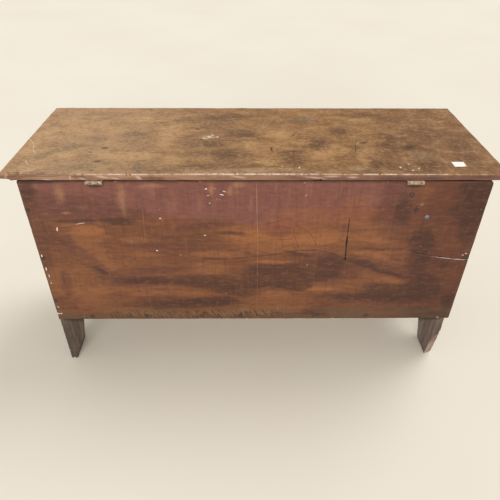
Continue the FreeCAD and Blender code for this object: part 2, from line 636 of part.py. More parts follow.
def make_lock(pin):
    """A simple chest lock: plate and flange, sliding bolt in two guides, spring and key
    post, with the lid's staple coming down through the slot in the flange."""
    plate_y = f"{INNER_FRONT} - lock_plate_thickness"
    plate = block("lock_plate_sheet", "lock_width", "lock_plate_thickness", "lock_drop",
                  "-lock_width / 2", plate_y, "rim_height - lock_drop")
    flange = block("lock_plate_flange", "lock_width", "lock_flange_depth", "lock_plate_thickness",
                   "-lock_width / 2", f"{INNER_FRONT} - lock_flange_depth",
                   "rim_height - lock_plate_thickness")
    slot = block("lock_plate_slot", "staple_slot_width", "staple_slot_depth",
                 f"lock_plate_thickness + 2 * {PAST}", "-staple_slot_width / 2",
                 f"{plate_y} - staple_slot_depth", f"rim_height - lock_plate_thickness - {PAST}")
    subpart(less("lock_plate_cut", joined("lock_plate_solid", [plate, flange]), [slot]), "lock_plate")

    bolt_z = f"{BOLT_TOP} - bolt_height"
    bolt_x = "-staple_width / 2 - bolt_end_gap - bolt_length"
    bar = block("bolt_bar", "bolt_length", "bolt_thickness", "bolt_height",
                bolt_x, f"{BOLT_Y} - bolt_thickness / 2", bolt_z)
    notch = block("bolt_notch", "bolt_notch_width", f"bolt_thickness + 2 * {PAST}",
                  f"bolt_notch_depth + {PAST}", "-key_post_offset - bolt_notch_width / 2",
                  f"{BOLT_Y} - bolt_thickness / 2 - {PAST}", f"{bolt_z} - {PAST}")
    subpart(less("bolt_cut", bar, [notch]), "lock_bolt")

    guides = []
    for number, offset in enumerate(("guide_inset", "bolt_length - guide_width - guide_inset / 2")):
        x = f"{bolt_x} + {offset}"
        reach = f"{plate_y} - ({BOLT_Y} - bolt_thickness / 2 - guide_clearance) + guide_front"
        outer = block(f"guide_{number}_outer", "guide_width", reach,
                      "bolt_height + 2 * guide_clearance + 2 * guide_thickness", x,
                      f"{plate_y} - ({reach})", f"{bolt_z} - guide_clearance - guide_thickness")
        inner = block(f"guide_{number}_inner", f"guide_width + 2 * {PAST}", f"{reach} - guide_front",
                      "bolt_height + 2 * guide_clearance", f"{x} - {PAST}",
                      f"{plate_y} - ({reach}) + guide_front", f"{bolt_z} - guide_clearance")
        guides.append(less(f"guide_{number}", outer, [inner]))
    group = doc.addObject("Part::Compound", "bolt_guides")
    group.Links = guides
    subpart(group, "lock_bolt_guides")

    spring = new_body("LockSpring")
    face = sketch_on(spring, "spring_outline", "XZ_Plane", f"-{BOLT_Y} - spring_width / 2")
    root_x = "-lock_recess_width / 2 + spring_inset"
    knee_x = f"{bolt_x} + guide_width + guide_inset + 1"
    tip_x = f"{bolt_x} + bolt_length / 2"
    high = f"{BOLT_TOP} + spring_height"
    low = f"{BOLT_TOP} + guide_clearance"
    outline(face, "spring", [
        (root_x, high),
        (knee_x, high),
        (tip_x, low),
        (f"{tip_x} + spring_toe", low),
        (f"{tip_x} + spring_toe", f"{low} + spring_thickness"),
        (f"{tip_x} + spring_thickness / 2", f"{low} + spring_thickness"),
        (f"{knee_x} + spring_thickness / 2", f"{high} + spring_thickness"),
        (root_x, f"{high} + spring_thickness"),
    ])
    pad(spring, face, "spring_width")
    subpart(spring, "lock_spring")

    post = rod("key_post", "key_post_radius", "lock_recess_depth - lock_plate_thickness + key_post_reach",
               "-key_post_offset", plate_y, KEYHOLE_Z, "front")
    subpart(post, "lock_key_post")

    copies("lock_plate_pins", pin,
           [(f"{side} * (lock_width / 2 - pin_inset)", INNER_FRONT, f"rim_height - {drop}", "front")
            for side in (-1, 1) for drop in ("2 * pin_inset", "(lock_drop - pin_inset)")])

    staple_plate = block("staple_plate", "staple_plate_length", "staple_plate_depth", "leaf_thickness",
                         "-staple_plate_length / 2", f"{BOLT_Y} - staple_plate_depth / 2", LID_UNDER)
    loop = block("staple_loop", "staple_width", "staple_span", "staple_drop",
                 "-staple_width / 2", f"{BOLT_Y} - staple_span / 2", f"{LID_UNDER} - staple_drop")
    eye = block("staple_eye", f"staple_width + 2 * {PAST}", "staple_span - 2 * staple_leg",
                "staple_drop - 2 * staple_bar", f"-staple_width / 2 - {PAST}",
                f"{BOLT_Y} - staple_span / 2 + staple_leg", f"{LID_UNDER} - staple_drop + staple_bar")
    subpart(less("staple_cut", joined("staple_solid", [staple_plate, loop]), [eye]), "lid_staple")
    copies("lid_staple_pins", pin,
           [(f"{side} * (staple_plate_length / 2 - pin_inset)", BOLT_Y, LID_UNDER, "up") for side in (-1, 1)])

    plate = new_body("Escutcheon")
    face = sketch_on(plate, "escutcheon_outline", "XZ_Plane", f"-{OUTER_FRONT}")
    wide = "escutcheon_width / 2"
    tall = "escutcheon_height / 2"
    centre_z = f"({KEYHOLE_Z} - escutcheon_drop)"
    outline(face, "plate", [
        (f"-key_post_offset - {wide}", f"{centre_z} - escutcheon_point"),
        ("-key_post_offset", f"{centre_z} - {tall}"),
        (f"-key_post_offset + {wide}", f"{centre_z} - escutcheon_point"),
        (f"-key_post_offset + {wide}", f"{centre_z} + escutcheon_shoulder"),
        ("-key_post_offset", f"{centre_z} + {tall}"),
        (f"-key_post_offset - {wide}", f"{centre_z} + escutcheon_shoulder"),
    ])
    pad(plate, face, "escutcheon_thickness")
    hole = sketch_on(plate, "escutcheon_hole", "XZ_Plane", f"-{OUTER_FRONT}")
    circle(hole, "hole", "-key_post_offset", KEYHOLE_Z, "keyhole_radius")
    pocket(plate, hole, "escutcheon_thickness", True)
    ward = sketch_on(plate, "escutcheon_slot", "XZ_Plane", f"-{OUTER_FRONT}")
    rectangle(ward, "slot", "-key_post_offset - keyhole_slot_width / 2",
              f"{KEYHOLE_Z} - keyhole_slot_drop",
              "-key_post_offset + keyhole_slot_width / 2", KEYHOLE_Z)
    pocket(plate, ward, "escutcheon_thickness", True)
    subpart(plate, "escutcheon")
    copies("escutcheon_pins", pin,
           [(x, f"{OUTER_FRONT} - escutcheon_thickness", z, "back") for x, z in (
               ("-key_post_offset", f"{centre_z} + {tall} - pin_inset"),
               ("-key_post_offset", f"{centre_z} - {tall} + pin_inset"),
               (f"-key_post_offset - {wide} + pin_inset", centre_z),
               (f"-key_post_offset + {wide} - pin_inset", centre_z))])


def make_label():
    label = block("label_sheet", "label_length", "label_depth", "label_thickness",
                  "-label_left - label_length / 2",
                  "back_face - label_back_inset - label_depth / 2",
                  "rim_height + lid_gap + lid_thickness")
    subpart(label, "paper_label")


make_lid()
make_back_board()
make_front_board()
make_end_board("LeftEnd", "left_end_board", "-left_end_face", "left_end_thickness")
make_end_board("RightEnd", "right_end_board", "right_end_face - end_thickness", "end_thickness")
make_bottom_board()
make_till()
make_hinges()
make_screws()
make_lock(make_nails())
make_label()
doc.recompute()

for thing in doc.Objects:
    assert not {"Invalid", "Error"} & set(thing.State), f"{thing.Name}: {thing.State}"
for piece in SUBPARTS:
    shape = piece.Shape
    assert not shape.isNull() and shape.isValid() and shape.Volume > 0, f"{piece.Label} is not sound"
os.makedirs("parts", exist_ok=True)
for piece in SUBPARTS:
    piece.Shape.exportStep(f"parts/{piece.Label}.step")
    print(f"{piece.Label}: {len(piece.Shape.Solids)} solid(s), {piece.Shape.Volume / 1000:.1f} cm3")
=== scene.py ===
# %% [markdown]
# # A boarded coffer
# A coffer of this kind is six wide planks, a few dozen nails, two hinges and a lock. The two end
# planks run down to the floor as feet, and the others are nailed to them. Everything that makes
# it look its age is in the surface: eased arrises, chips, stains, scratches and grime.
#
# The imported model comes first, as a fixed frame in metres. Every piece made here takes its size
# and its place from that frame.

# %% Load the frame
import math
import random
from contextlib import contextmanager

import bmesh
import bpy
from mathutils import Matrix, Vector
from mathutils.kdtree import KDTree


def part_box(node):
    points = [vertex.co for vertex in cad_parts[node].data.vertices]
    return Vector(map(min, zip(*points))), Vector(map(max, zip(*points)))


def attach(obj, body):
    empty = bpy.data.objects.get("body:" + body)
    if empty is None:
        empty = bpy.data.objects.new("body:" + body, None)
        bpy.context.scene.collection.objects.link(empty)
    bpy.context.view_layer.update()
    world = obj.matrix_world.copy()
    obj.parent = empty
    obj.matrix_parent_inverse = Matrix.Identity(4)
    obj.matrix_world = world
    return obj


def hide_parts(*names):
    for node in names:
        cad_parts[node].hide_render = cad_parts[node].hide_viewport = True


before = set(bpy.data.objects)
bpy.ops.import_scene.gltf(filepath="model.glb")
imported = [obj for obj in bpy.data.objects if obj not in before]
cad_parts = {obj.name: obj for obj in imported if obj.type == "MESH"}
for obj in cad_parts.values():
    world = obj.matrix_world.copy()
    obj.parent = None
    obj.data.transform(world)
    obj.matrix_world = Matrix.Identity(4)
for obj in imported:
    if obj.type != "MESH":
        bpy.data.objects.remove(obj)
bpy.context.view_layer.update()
MM = 0.001

# %% [markdown]
# ## The camera
# The chest is seen from behind and above, by someone standing a metre behind it. A 35 mm lens on
# a 36 mm sensor has a wide view, so the lid comes out much wider than the foot of the chest.

# %% The camera
camera = bpy.data.objects.new("camera", bpy.data.cameras.new("camera"))
bpy.context.scene.collection.objects.link(camera)
camera.data.lens = 35.0
camera.data.sensor_width = 36.0
camera.location = (0.0245, 1.2366, 1.1801)
camera.rotation_euler = [math.radians(turn) for turn in (53.85, -0.28, 179.47)]
bpy.context.scene.camera = camera
print("camera", round((camera.location - Vector((0, 0, 0.4))).length, 2), "m away")

# %% [markdown]
# ## Working in edit mode
# The helpers below cover that, add a modifier and apply it at once, start a piece from a plain
# shape, and join pieces.


# %% Edit mode helpers
def work_on(piece):
    """Makes one object the only one selected."""
    bpy.ops.object.select_all(action="DESELECT")
    bpy.context.view_layer.objects.active = piece
    piece.select_set(True)


@contextmanager
def editing(piece, kind="VERT"):
    """Edit mode on one object, with all of it selected at the start."""
    work_on(piece)
    bpy.ops.object.mode_set(mode="EDIT")
    bpy.ops.mesh.select_mode(type=kind)
    bpy.ops.mesh.select_all(action="SELECT")
    yield
    bpy.ops.object.mode_set(mode="OBJECT")


def pick(kind, wanted):
    """In edit mode, selects only the verts, edges or faces for which wanted(part) is true."""
    bpy.ops.mesh.select_all(action="DESELECT")
    mesh = bmesh.from_edit_mesh(bpy.context.object.data)
    parts = [part for part in getattr(mesh, kind) if wanted(part)]
    for part in parts:
        part.select_set(True)
    bmesh.update_edit_mesh(bpy.context.object.data)


def modify(piece, kind, **settings):
    """Adds a modifier, sets it and applies it."""
    work_on(piece)
    modifier = piece.modifiers.new(kind.lower(), kind)
    for name, value in settings.items():
        setattr(modifier, name, value)
    bpy.ops.object.modifier_apply(modifier=modifier.name)


def shape(kind, **settings):
    """A new object of a plain shape, such as a cube, with nothing else selected."""
    bpy.ops.object.select_all(action="DESELECT")
    getattr(bpy.ops.mesh, f"primitive_{kind}_add")(**settings)
    return bpy.context.object


def joined(pieces):
    """Joins several objects into the first of them."""
    work_on(pieces[0])
    for piece in pieces:
        piece.select_set(True)
    if len(pieces) > 1:
        bpy.ops.object.join()
    return pieces[0]


# %% [markdown]
# ## Reading places from the frame
# The nails of one row are separate solids in one node. Walking from point to point along the
# edges finds each solid, and its box says where that nail is. The finishes need these places too,
# because iron leaves a dark stain in the wood around it.


# %% Places of separate solids
def extent(points):
    """The lowest and the highest corner of the box round some points."""
    lines = list(zip(*points))
    return Vector(map(min, lines)), Vector(map(max, lines))


def solids(node):
    """The box of each separate solid in a node of the frame."""
    mesh = bmesh.new()
    mesh.from_mesh(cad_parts[node].data)
    bmesh.ops.remove_doubles(mesh, verts=mesh.verts, dist=0.01 * MM)
    waiting = set(mesh.verts)
    boxes = []
    while waiting:
        found = [waiting.pop()]
        for vertex in found:
            fresh = {edge.other_vert(vertex) for edge in vertex.link_edges} & waiting
            waiting -= fresh
            found.extend(fresh)
        boxes.append(extent([vertex.co for vertex in found]))
    mesh.free()
    return sorted(boxes, key=lambda box: [round(side, 4) for side in box[0]])


def spots_of(*nodes):
    """The middle of each solid in some nodes, in millimetres."""
    return [(low + high) / 2 / MM for node in nodes for low, high in solids(node)]


back_nails = spots_of("back_bottom_nails", "back_end_nails", "till_nails")
back_nails = [place for place in back_nails if place.y > 0]
print(len(back_nails), "nails in the back plank")

# %% [markdown]
# ## Writing a finish
# A finish is a material whose colour, gloss and relief come from nodes. Adding nodes one by one
# is long-winded, so this small class adds a node and gives back its output. It also keeps the
# finish's colour and height as they stand, so that each layer (grain, stain, scratch, wear) can
# be laid on the one before, as they were laid on the wood.


# %% The finish class
def tone(code):
    """A colour written as a web code, in the linear numbers that a shader takes."""
    channels = [int(code[i:i + 2], 16) / 255 for i in (0, 2, 4)]
    return tuple(c / 12.92 if c <= 0.04045 else ((c + 0.055) / 1.055) ** 2.4 for c in channels) + (1,)


def feed(tree, made, key, value):
    """Gives an input of a node a value, or a link from another node's output."""
    if isinstance(value, bpy.types.NodeSocket):
        tree.links.new(value, made.inputs[key])
    else:
        made.inputs[key].default_value = value


def add_node(tree, kind, inputs=(), **settings):
    """Adds a node to a tree, with what it is fed and how it is set."""
    made = tree.nodes.new(kind)
    for name, value in settings.items():
        setattr(made, name, value)
    for key, value in dict(inputs).items():
        feed(tree, made, key, value)
    return made


class Finish:
    def __init__(self, name):
        self.material = bpy.data.materials.new(name)
        self.material.use_nodes = True
        self.tree = self.material.node_tree
        self.shader = self.tree.nodes["Principled BSDF"]
        self.place = self.node("ShaderNodeTexCoord").outputs["Object"]
        self.parts = self.node("ShaderNodeSeparateXYZ", {0: self.place}).outputs
        self.colour = None
        self.height = 0.0

    def node(self, kind, inputs=(), **settings):
        return add_node(self.tree, kind, inputs, **settings)

    def calc(self, operation, a, b=0.0):
        return self.node("ShaderNodeMath", {0: a, 1: b}, operation=operation).outputs[0]

    def times(self, *masks):
        """Where all of some masks are."""
        product = masks[0]
        for mask in masks[1:]:
            product = self.calc("MULTIPLY", product, mask)
        return product

    def without(self, mask):
        """Where a mask isn't."""
        return self.calc("SUBTRACT", 1.0, mask)

    def vector(self, operation, a, b):
        return self.node("ShaderNodeVectorMath", {0: a, 1: b}, operation=operation).outputs[0]

    def step(self, value, low, high, start=0.0, end=1.0):
        """Goes softly from start, where value is low, to end, where it is high."""
        inputs = {"Value": value, "From Min": low, "From Max": high, "To Min": start, "To Max": end}
        return self.node("ShaderNodeMapRange", inputs, interpolation_type="SMOOTHSTEP").outputs["Result"]

    def along(self, axis, low, high):
        """0 before low and 1 after high along an axis, in mm. low may be the greater."""
        return self.step(self.parts[axis], low * MM, high * MM)

    def scaled(self, place, scale):
        return self.node("ShaderNodeMapping", {"Vector": place, "Scale": scale}).outputs[0]

    def turned(self, place, size, turn):
        """Places measured in strokes of a size (length, width) in mm that run at an angle."""
        inputs = {"Vector": place, "Scale": (size[0] * MM, size[1] * MM, 1.0),
                  "Rotation": (0.0, 0.0, math.radians(turn))}
        return self.node("ShaderNodeMapping", inputs, vector_type="TEXTURE").outputs[0]

    def noise(self, place, scale, detail=3.0, roughness=0.55, output="Fac"):
        inputs = {"Vector": place, "Scale": scale, "Detail": detail, "Roughness": roughness}
        return self.node("ShaderNodeTexNoise", inputs).outputs[output]

    def mottle(self, face, across, up, detail, roughness=0.55, scale=1.0, output="Fac"):
        """Noise on a face that is scaled differently across and up."""
        return self.noise(self.scaled(face, (across, up, 1.0)), scale, detail, roughness, output)

    def mix(self, share, a, b, how="MIX"):
        made = self.node("ShaderNodeMix", {0: share, 6: a, 7: b}, data_type="RGBA", blend_type=how)
        return made.outputs[2]

    def ramp(self, value, stops):
        """Colours along a value: stops is a list of (place, web code)."""
        made = self.node("ShaderNodeValToRGB", {"Fac": value})
        ends = made.color_ramp.elements
        while len(ends) < len(stops):
            ends.new(0.5)
        for end, (place, code) in zip(ends, stops):
            end.position = place
            end.color = tone(code)
        return made.outputs["Color"]

    def face(self, across, up):
        """The place on a flat face, as its first two numbers."""
        inputs = {0: self.parts[across], 1: self.parts[up]}
        return self.node("ShaderNodeCombineXYZ", inputs).outputs[0]

    def lay(self, share, colour, amount=1.0, how="MIX"):
        """Lays a colour or a web code on what is there. share is a mask, or several as a tuple."""
        if isinstance(share, tuple):
            share = self.times(*share)
        if isinstance(colour, str):
            colour = tone(colour)
        if amount != 1.0:
            share = self.calc("MULTIPLY", share, amount)
        self.colour = self.mix(share, self.colour, colour, how)

    def lift(self, value, amount):
        """Adds to the relief, in mm."""
        self.height = self.calc("ADD", self.height, self.calc("MULTIPLY", value, amount * MM))

    def close(self, roughness, specular=0.5, metallic=0.0):
        """Joins the layers to the shader."""
        bump = self.node("ShaderNodeBump", {"Strength": 1.0, "Distance": 1.0, "Height": self.height})
        for name, value in (("Base Color", self.colour), ("Normal", bump.outputs[0]),
                            ("Roughness", roughness), ("Specular IOR Level", specular),
                            ("Metallic", metallic)):
            feed(self.tree, self.shader, name, value)
        print(self.material.name, len(self.tree.nodes), "nodes")
        return self.material


# %% [markdown]
# ## Wood
# A plank is sawn from a trunk, so its figure is one solid pattern: long streaks on the face and
# small rings on the end. Noise that is stretched along the grain gives both, because it is read
# in three dimensions. Three sizes are laid together: broad bands, streaks, and the fibres and
# pores that roughen the surface.


# %% Wood grain
def grain(finish, along, stops, stretch=9.0, figure=0.5, drift=0.05):
    """Lays wood on a finish. along is the axis that the grain runs on, 0 to 2."""
    shake = finish.noise(finish.place, 2.6, 2.0, output="Color")
    shake = finish.vector("MULTIPLY", finish.vector("SUBTRACT", shake, (0.5,) * 3), (drift,) * 3)
    wavy = finish.vector("ADD", finish.place, shake)
    lengthways = finish.scaled(wavy, [1.0 if axis == along else stretch for axis in range(3)])
    fibres = finish.scaled(wavy, [1.0 if axis == along else 5 * stretch for axis in range(3)])
    bands = finish.noise(lengthways, 2.2, 2.0)
    finish.streaks = finish.noise(lengthways, 8.0, 6.0, 0.62)
    finish.pores = finish.noise(fibres, 24.0, 3.0, 0.6)
    body = finish.calc("ADD", finish.times(bands, figure), finish.times(finish.streaks, 1 - figure))
    rings = finish.calc("SUBTRACT", finish.calc("PINGPONG", finish.times(bands, 9.0), 0.5), 0.25)
    finish.body = finish.calc("ADD", body, finish.times(rings, 0.09))
    finish.colour = finish.ramp(finish.body, stops)
    finish.lay(finish.step(finish.pores, 0.50, 0.28), "24150f", 0.28)
    finish.lift(finish.pores, 0.22)
    finish.lift(finish.streaks, 0.4)


# %% [markdown]
# ## Stains, scratches and spots
# A stain is a soft patch that follows the grain. Each is written down as a place, a half width,
# a half height and a tilt, and noise then frays its edge along the grain. A scratch is a line from
# one point to another with a half width. Both are read on the flat of the board in millimetres,
# so a board's marks keep their place whatever is cut into it.


# %% Marks on a face
def frayed(finish, face, along, across, size=1.0):
    """The place on a face, shaken by some mm, more along the grain than across it."""
    shake = finish.mottle(face, 7.0 * size, 22.0 * size, 4.0, 0.65, output="Color")
    shake = finish.vector("SUBTRACT", shake, (0.5, 0.5, 0.5))
    return finish.vector("ADD", face, finish.vector("MULTIPLY", shake, (along * MM, across * MM, 0.0)))


def depths(finish, face, areas, how="MAXIMUM"):
    """How deep a point lies in the ellipses, from 0 at the edge to 1 in the middle.

    An ellipse is its centre, its two half widths, in mm, and its tilt in degrees if it has one.
    """
    depth = 0.0
    for x, y, wide, high, *tilt in areas:
        ball = finish.node("ShaderNodeTexGradient", {"Vector": face}, gradient_type="SPHERICAL")
        ball.texture_mapping.vector_type = "TEXTURE"
        ball.texture_mapping.translation = (x * MM, y * MM, 0.0)
        ball.texture_mapping.rotation = (0.0, 0.0, math.radians(sum(tilt)))
        ball.texture_mapping.scale = (wide * MM, high * MM, 1.0)
        depth = finish.calc(how, depth, ball.outputs["Fac"])
    return depth


def patches(finish, face, areas, soft=0.3, fray=None):
    """Patches with an edge that is soft over that share of their half width, and may be frayed."""
    if fray:
        face = frayed(finish, face, *fray)
    return finish.step(depths(finish, face, areas), 0.0, soft)


def clouds(finish, face, areas, soft=0.6):
    """Patches that run together, and whose edges are broken into flames along the grain."""
    depth = depths(finish, frayed(finish, frayed(finish, face, 44, 22), 26, 9, 3.0), areas, "ADD")
    flames = finish.calc("SUBTRACT", finish.mottle(face, 8.0, 44.0, 7.0, 0.7), 0.5)
    flames = finish.times(flames, finish.step(depth, 0.0, 0.35, 0.0, 1.1))
    return finish.step(finish.calc("ADD", depth, flames), 0.04, soft)


NAIL_STAIN = "33241f"


def rings_round(finish, face, places, radius=9.5, soft=0.4):
    """Round spots of one radius, at places on the face in mm. As given, the stain of a nail."""
    nearest = 1.0
    for x, y in places:
        far = finish.node("ShaderNodeVectorMath", {0: face, 1: (x * MM, y * MM, 0.0)}, operation="DISTANCE")
        nearest = finish.calc("MINIMUM", nearest, far.outputs["Value"])
    return finish.step(nearest, radius * MM, radius * soft * MM)


def patina(finish, face, brushing=1.0, upright=False):
    """Brush marks across the grain and small blotches along it, as wax and dust leave them."""
    order = -1 if upright else 1
    brushed = finish.mottle(face, *(150.0, 11.0)[::order], 4.0, 0.6)
    finish.lay(finish.step(brushed, 0.52, 0.68), "3a231b", 0.24 * brushing)
    finish.lay(finish.step(brushed, 0.46, 0.32), "96684a", 0.12 * brushing)
    blotches = finish.mottle(face, *(14.0, 34.0)[::order], 5.0, 0.7, 3.0)
    finish.lay(finish.step(blotches, 0.50, 0.68), "4a2d22", 0.35)
    finish.lay(finish.step(blotches, 0.50, 0.34), "9a6a48", 0.25)


HALF_RUN = 0.62  # a little over half, so that one stroke of a line runs into the next


def lines(finish, face, routes, half_width):
    """How far a point lies on any of the routes, each a list of points in mm."""
    areas = []
    for route in routes:
        for start, end in zip(route, route[1:]):
            run = Vector(end) - Vector(start)
            middle = (Vector(start) + Vector(end)) / 2
            tilt = math.degrees(math.atan2(run.y, run.x))
            areas.append((*middle, run.length * HALF_RUN, half_width, tilt))
    return patches(finish, face, areas)


# %% [markdown]
# ## Arrises and wear
# Where two faces of a plank meet, hands and cloths rub the finish off and knocks round the wood.
# The meshes below carry an attribute called arris, which is 1 on such an edge and falls to 0
# a few millimetres away. The finish reads it, breaks it up with noise and shows rubbed wood there.


# %% Worn edges and bare wood in a finish
RAW_WOOD = [(0.30, "6b4d37"), (0.48, "8d6b4d"), (0.62, "a5825f"), (0.78, "b99772")]


def rub(finish, code, share, beads=60.0):
    """Shows rubbed, paler wood along the arrises."""
    near = finish.node("ShaderNodeAttribute", attribute_name="arris").outputs["Fac"]
    patchy = finish.step(finish.noise(finish.place, beads, 4.0, 0.7), 0.38, 0.62)
    finish.lay((near, patchy, share), code)


def bare(finish, share):
    """Shows unfinished wood with the marks of the saw, on the faces that are turned in."""
    finish.lay(share, finish.ramp(finish.body, RAW_WOOD))
    finish.lay((share, finish.step(finish.streaks, 0.52, 0.64)), "553e2b", 0.4)
    finish.lay((share, finish.step(finish.pores, 0.50, 0.60)), "4d3827", 0.4)
    finish.lay((share, finish.step(finish.pores, 0.42, 0.34)), "c2a37e", 0.3)
    dust = finish.step(finish.noise(finish.place, 9.0, 5.0, 0.6), 0.42, 0.66)
    finish.lay((share, dust), "4d3a2a", 0.55)
    kerfs = finish.node("ShaderNodeTexWave", {"Vector": finish.place, "Scale": 32.0, "Distortion": 1.5,
                                              "Detail": 2.0, "Detail Scale": 0.6}).outputs["Fac"]
    finish.lift(finish.times(share, kerfs), 0.12)


# %% [markdown]
# ## The back plank's finish
# The back is stained red-brown over orange wood. Its upper part is painted purplish, a painted sheen
# that stands for light reflected off the polish, and damp has left long umber clouds low down. Each
# cloud is placed where it lies on the board, in millimetres from the chest's middle and from the floor.

# %% Clouds on the back
PANEL_WOOD = [(0.28, "5d3724"), (0.42, "6e432b"), (0.55, "7d4f30"), (0.70, "8c5e38")]

BACK_SHEEN = (
    (420, 588, 220, 90), (150, 603, 240, 80), (-90, 598, 280, 100), (20, 553, 300, 40),
    (-280, 608, 140, 70), (-60, 528, 120, 34),
)
BACK_DUSK = (
    (548, 508, 50, 190, 3), (500, 568, 90, 50), (395, 553, 130, 60), (300, 538, 80, 26, 6),
    (512, 323, 20, 70), (330, 333, 150, 36, -2), (205, 444, 180, 18, 2), (240, 368, 110, 14),
    (478, 456, 30, 56, -32), (440, 408, 30, 60, -42), (400, 360, 66, 32, 40), (130, 508, 110, 14, -4),
    (-210, 368, 110, 60), (-160, 410, 120, 20, 4), (-290, 263, 180, 44), (-350, 568, 70, 150),
    (-460, 488, 120, 90), (-490, 568, 120, 120), (-480, 348, 110, 150), (-350, 223, 280, 44),
    (-548, 388, 50, 280), (170, 258, 220, 40), (-350, 373, 110, 30, 14), (-100, 198, 500, 16),
    (-520, 608, 90, 60),
)
BACK_DARK = (
    (345, 522, 60, 13), (330, 514, 34, 9), (450, 521, 90, 8), (548, 598, 34, 40), (408, 366, 30, 12, 42),
    (300, 330, 130, 18, 2), (180, 334, 130, 30), (90, 314, 120, 38), (-20, 338, 90, 54), (-95, 338, 84, 66),
    (-60, 362, 110, 36), (45, 292, 76, 32), (-125, 313, 44, 34), (-205, 386, 60, 42), (-190, 343, 60, 26),
    (190, 244, 190, 24, -2), (110, 254, 90, 22), (60, 484, 66, 10, 4), (-110, 420, 60, 9, 18),
    (-350, 291, 84, 42, 10), (-400, 270, 130, 36), (-440, 293, 90, 44), (-270, 270, 110, 18),
    (-440, 398, 42, 130, -8), (-432, 468, 56, 40), (-366, 553, 36, 66), (-530, 568, 66, 100),
    (-545, 498, 34, 90), (-545, 620, 80, 34), (-300, 382, 70, 14, 20), (-375, 354, 66, 12, 16),
    (-330, 436, 84, 8), (-505, 383, 24, 18), (-550, 248, 26, 70), (-180, 211, 60, 24), (-480, 308, 60, 56),
    (-470, 213, 60, 22), (505, 192, 75, 14), (-515, 198, 70, 20), (-410, 285, 130, 34),
)
BACK_LIGHT = (
    (420, 488, 80, 34), (430, 428, 70, 60, 40), (385, 380, 30, 34), (290, 419, 60, 14), (305, 464, 60, 14),
    (30, 486, 100, 40), (-40, 448, 110, 34), (-165, 474, 110, 36), (-120, 528, 130, 50), (110, 420, 90, 16),
    (125, 374, 70, 34), (-55, 394, 80, 12), (175, 280, 130, 20, 3), (290, 284, 80, 14), (-60, 280, 60, 30),
    (-182, 298, 90, 14), (-60, 220, 90, 26), (450, 270, 80, 60), (350, 218, 130, 20),
    (-345, 394, 80, 14, 8), (-370, 328, 80, 13, 12), (-300, 478, 90, 24), (-250, 548, 60, 60),
    (-410, 598, 34, 32), (-440, 233, 60, 16), (-515, 448, 50, 24), (-540, 233, 30, 40),
    (-300, 233, 120, 18),
)
BACK_EMBER = (
    (-130, 470, 120, 24), (20, 478, 70, 26), (-60, 394, 60, 9), (170, 281, 80, 14), (-330, 460, 60, 10),
    (-300, 418, 60, 12, 6), (420, 494, 60, 20), (-182, 298, 60, 9),
)
BACK_RED = ((-240, 545, 220, 50), (-430, 545, 120, 80), (-70, 505, 130, 34), (230, 520, 150, 24))
BACK_SMUDGES = (
    (323, 596, 17, 46, 4), (470, 600, 22, 40), (462, 548, 20, 6), (105, 608, 10, 22), (250, 620, 50, 9),
    (60, 608, 12, 20), (320, 583, 12, 60, 3), (-410, 570, 8, 6), (28, 218, 30, 18), (38, 626, 26, 14),
)
print(len(BACK_DARK) + len(BACK_LIGHT), "clouds")

# %% [markdown]
# Its scratches and specks are placed in the same way: fine red hairlines in the orange part, one
# long upright pale line, white house paint splashed from the side, and slanting tool marks along
# the lower edge.

# %% Scratches and specks on the back
PALE_LINES = [[(-3, 632), (-6, 528), (-8, 478)]]
FAINT_PALE_LINES = [[(-8, 478), (-9, 338), (-10, 189)], [(487, 507), (454, 513), (430, 517)],
                    [(274.7, 569.7), (280.2, 465.9)], [(-413.9, 422.5), (-477.2, 410.4)],
                    [(-428, 631), (-545, 631)]]
WHITE_SCRATCHES = [[(446, 514.0), (424, 518.2)], [(-476, 410.8), (-524, 403.6), (-569, 400)]]
RED_HAIRLINES = [
    [(-58, 524.6), (-65.7, 490), (-72.3, 455.8), (-73, 439.9)],
    [(-99, 512), (-121.6, 500), (-139, 489), (-153, 467), (-162, 446), (-166, 440.5)],
    [(-99.1, 505.2), (-100.7, 477.7), (-108, 462.1), (-114.5, 441.4), (-115.1, 452.6), (-85, 447),
     (-73, 440)],
    [(-163.9, 441.3), (-195.3, 452.4), (-233, 461.9)],
    [(-29.6, 512.8), (-50.7, 520.2), (-70.3, 529), (-98, 532)],
    [(-60, 467), (-84, 467), (-99, 469)],
]
GRAIN_LINE = [[(142.9, 406.2), (64, 404.3), (11.3, 410.8), (-28.1, 415.7), (-80.3, 423.7), (-119, 431.8),
               (-166.1, 431.7), (-198.1, 425.1), (-240, 404)]]
PAINT_SPECKS = (
    (235, 531, 3.4, 1.9, 10), (253, 432, 3, 2, 30), (126, 480, 3.8, 1.8), (117, 614, 3.2, 1.8, -10),
    (113, 596, 3.2, 1.5), (110, 575, 2.6, 1.5), (80, 598, 6, 1.3, 14), (74, 607, 5, 1.3, 20),
    (496.5, 499, 2.4, 7, 12), (555.8, 414, 1.8, 6.6, 4), (554.6, 372, 1.7, 6.5, 4), (552.3, 348, 1.7, 7, 4),
    (552.6, 323, 1.6, 4, 4), (554.2, 235, 1.8, 5, -25), (559, 208.5, 4.8, 3.8), (550.5, 209.5, 3.4, 2.6),
    (-557, 421, 3.8, 2, 10), (-550, 416, 3, 1.8), (-535, 190, 4.4, 1.8),
)
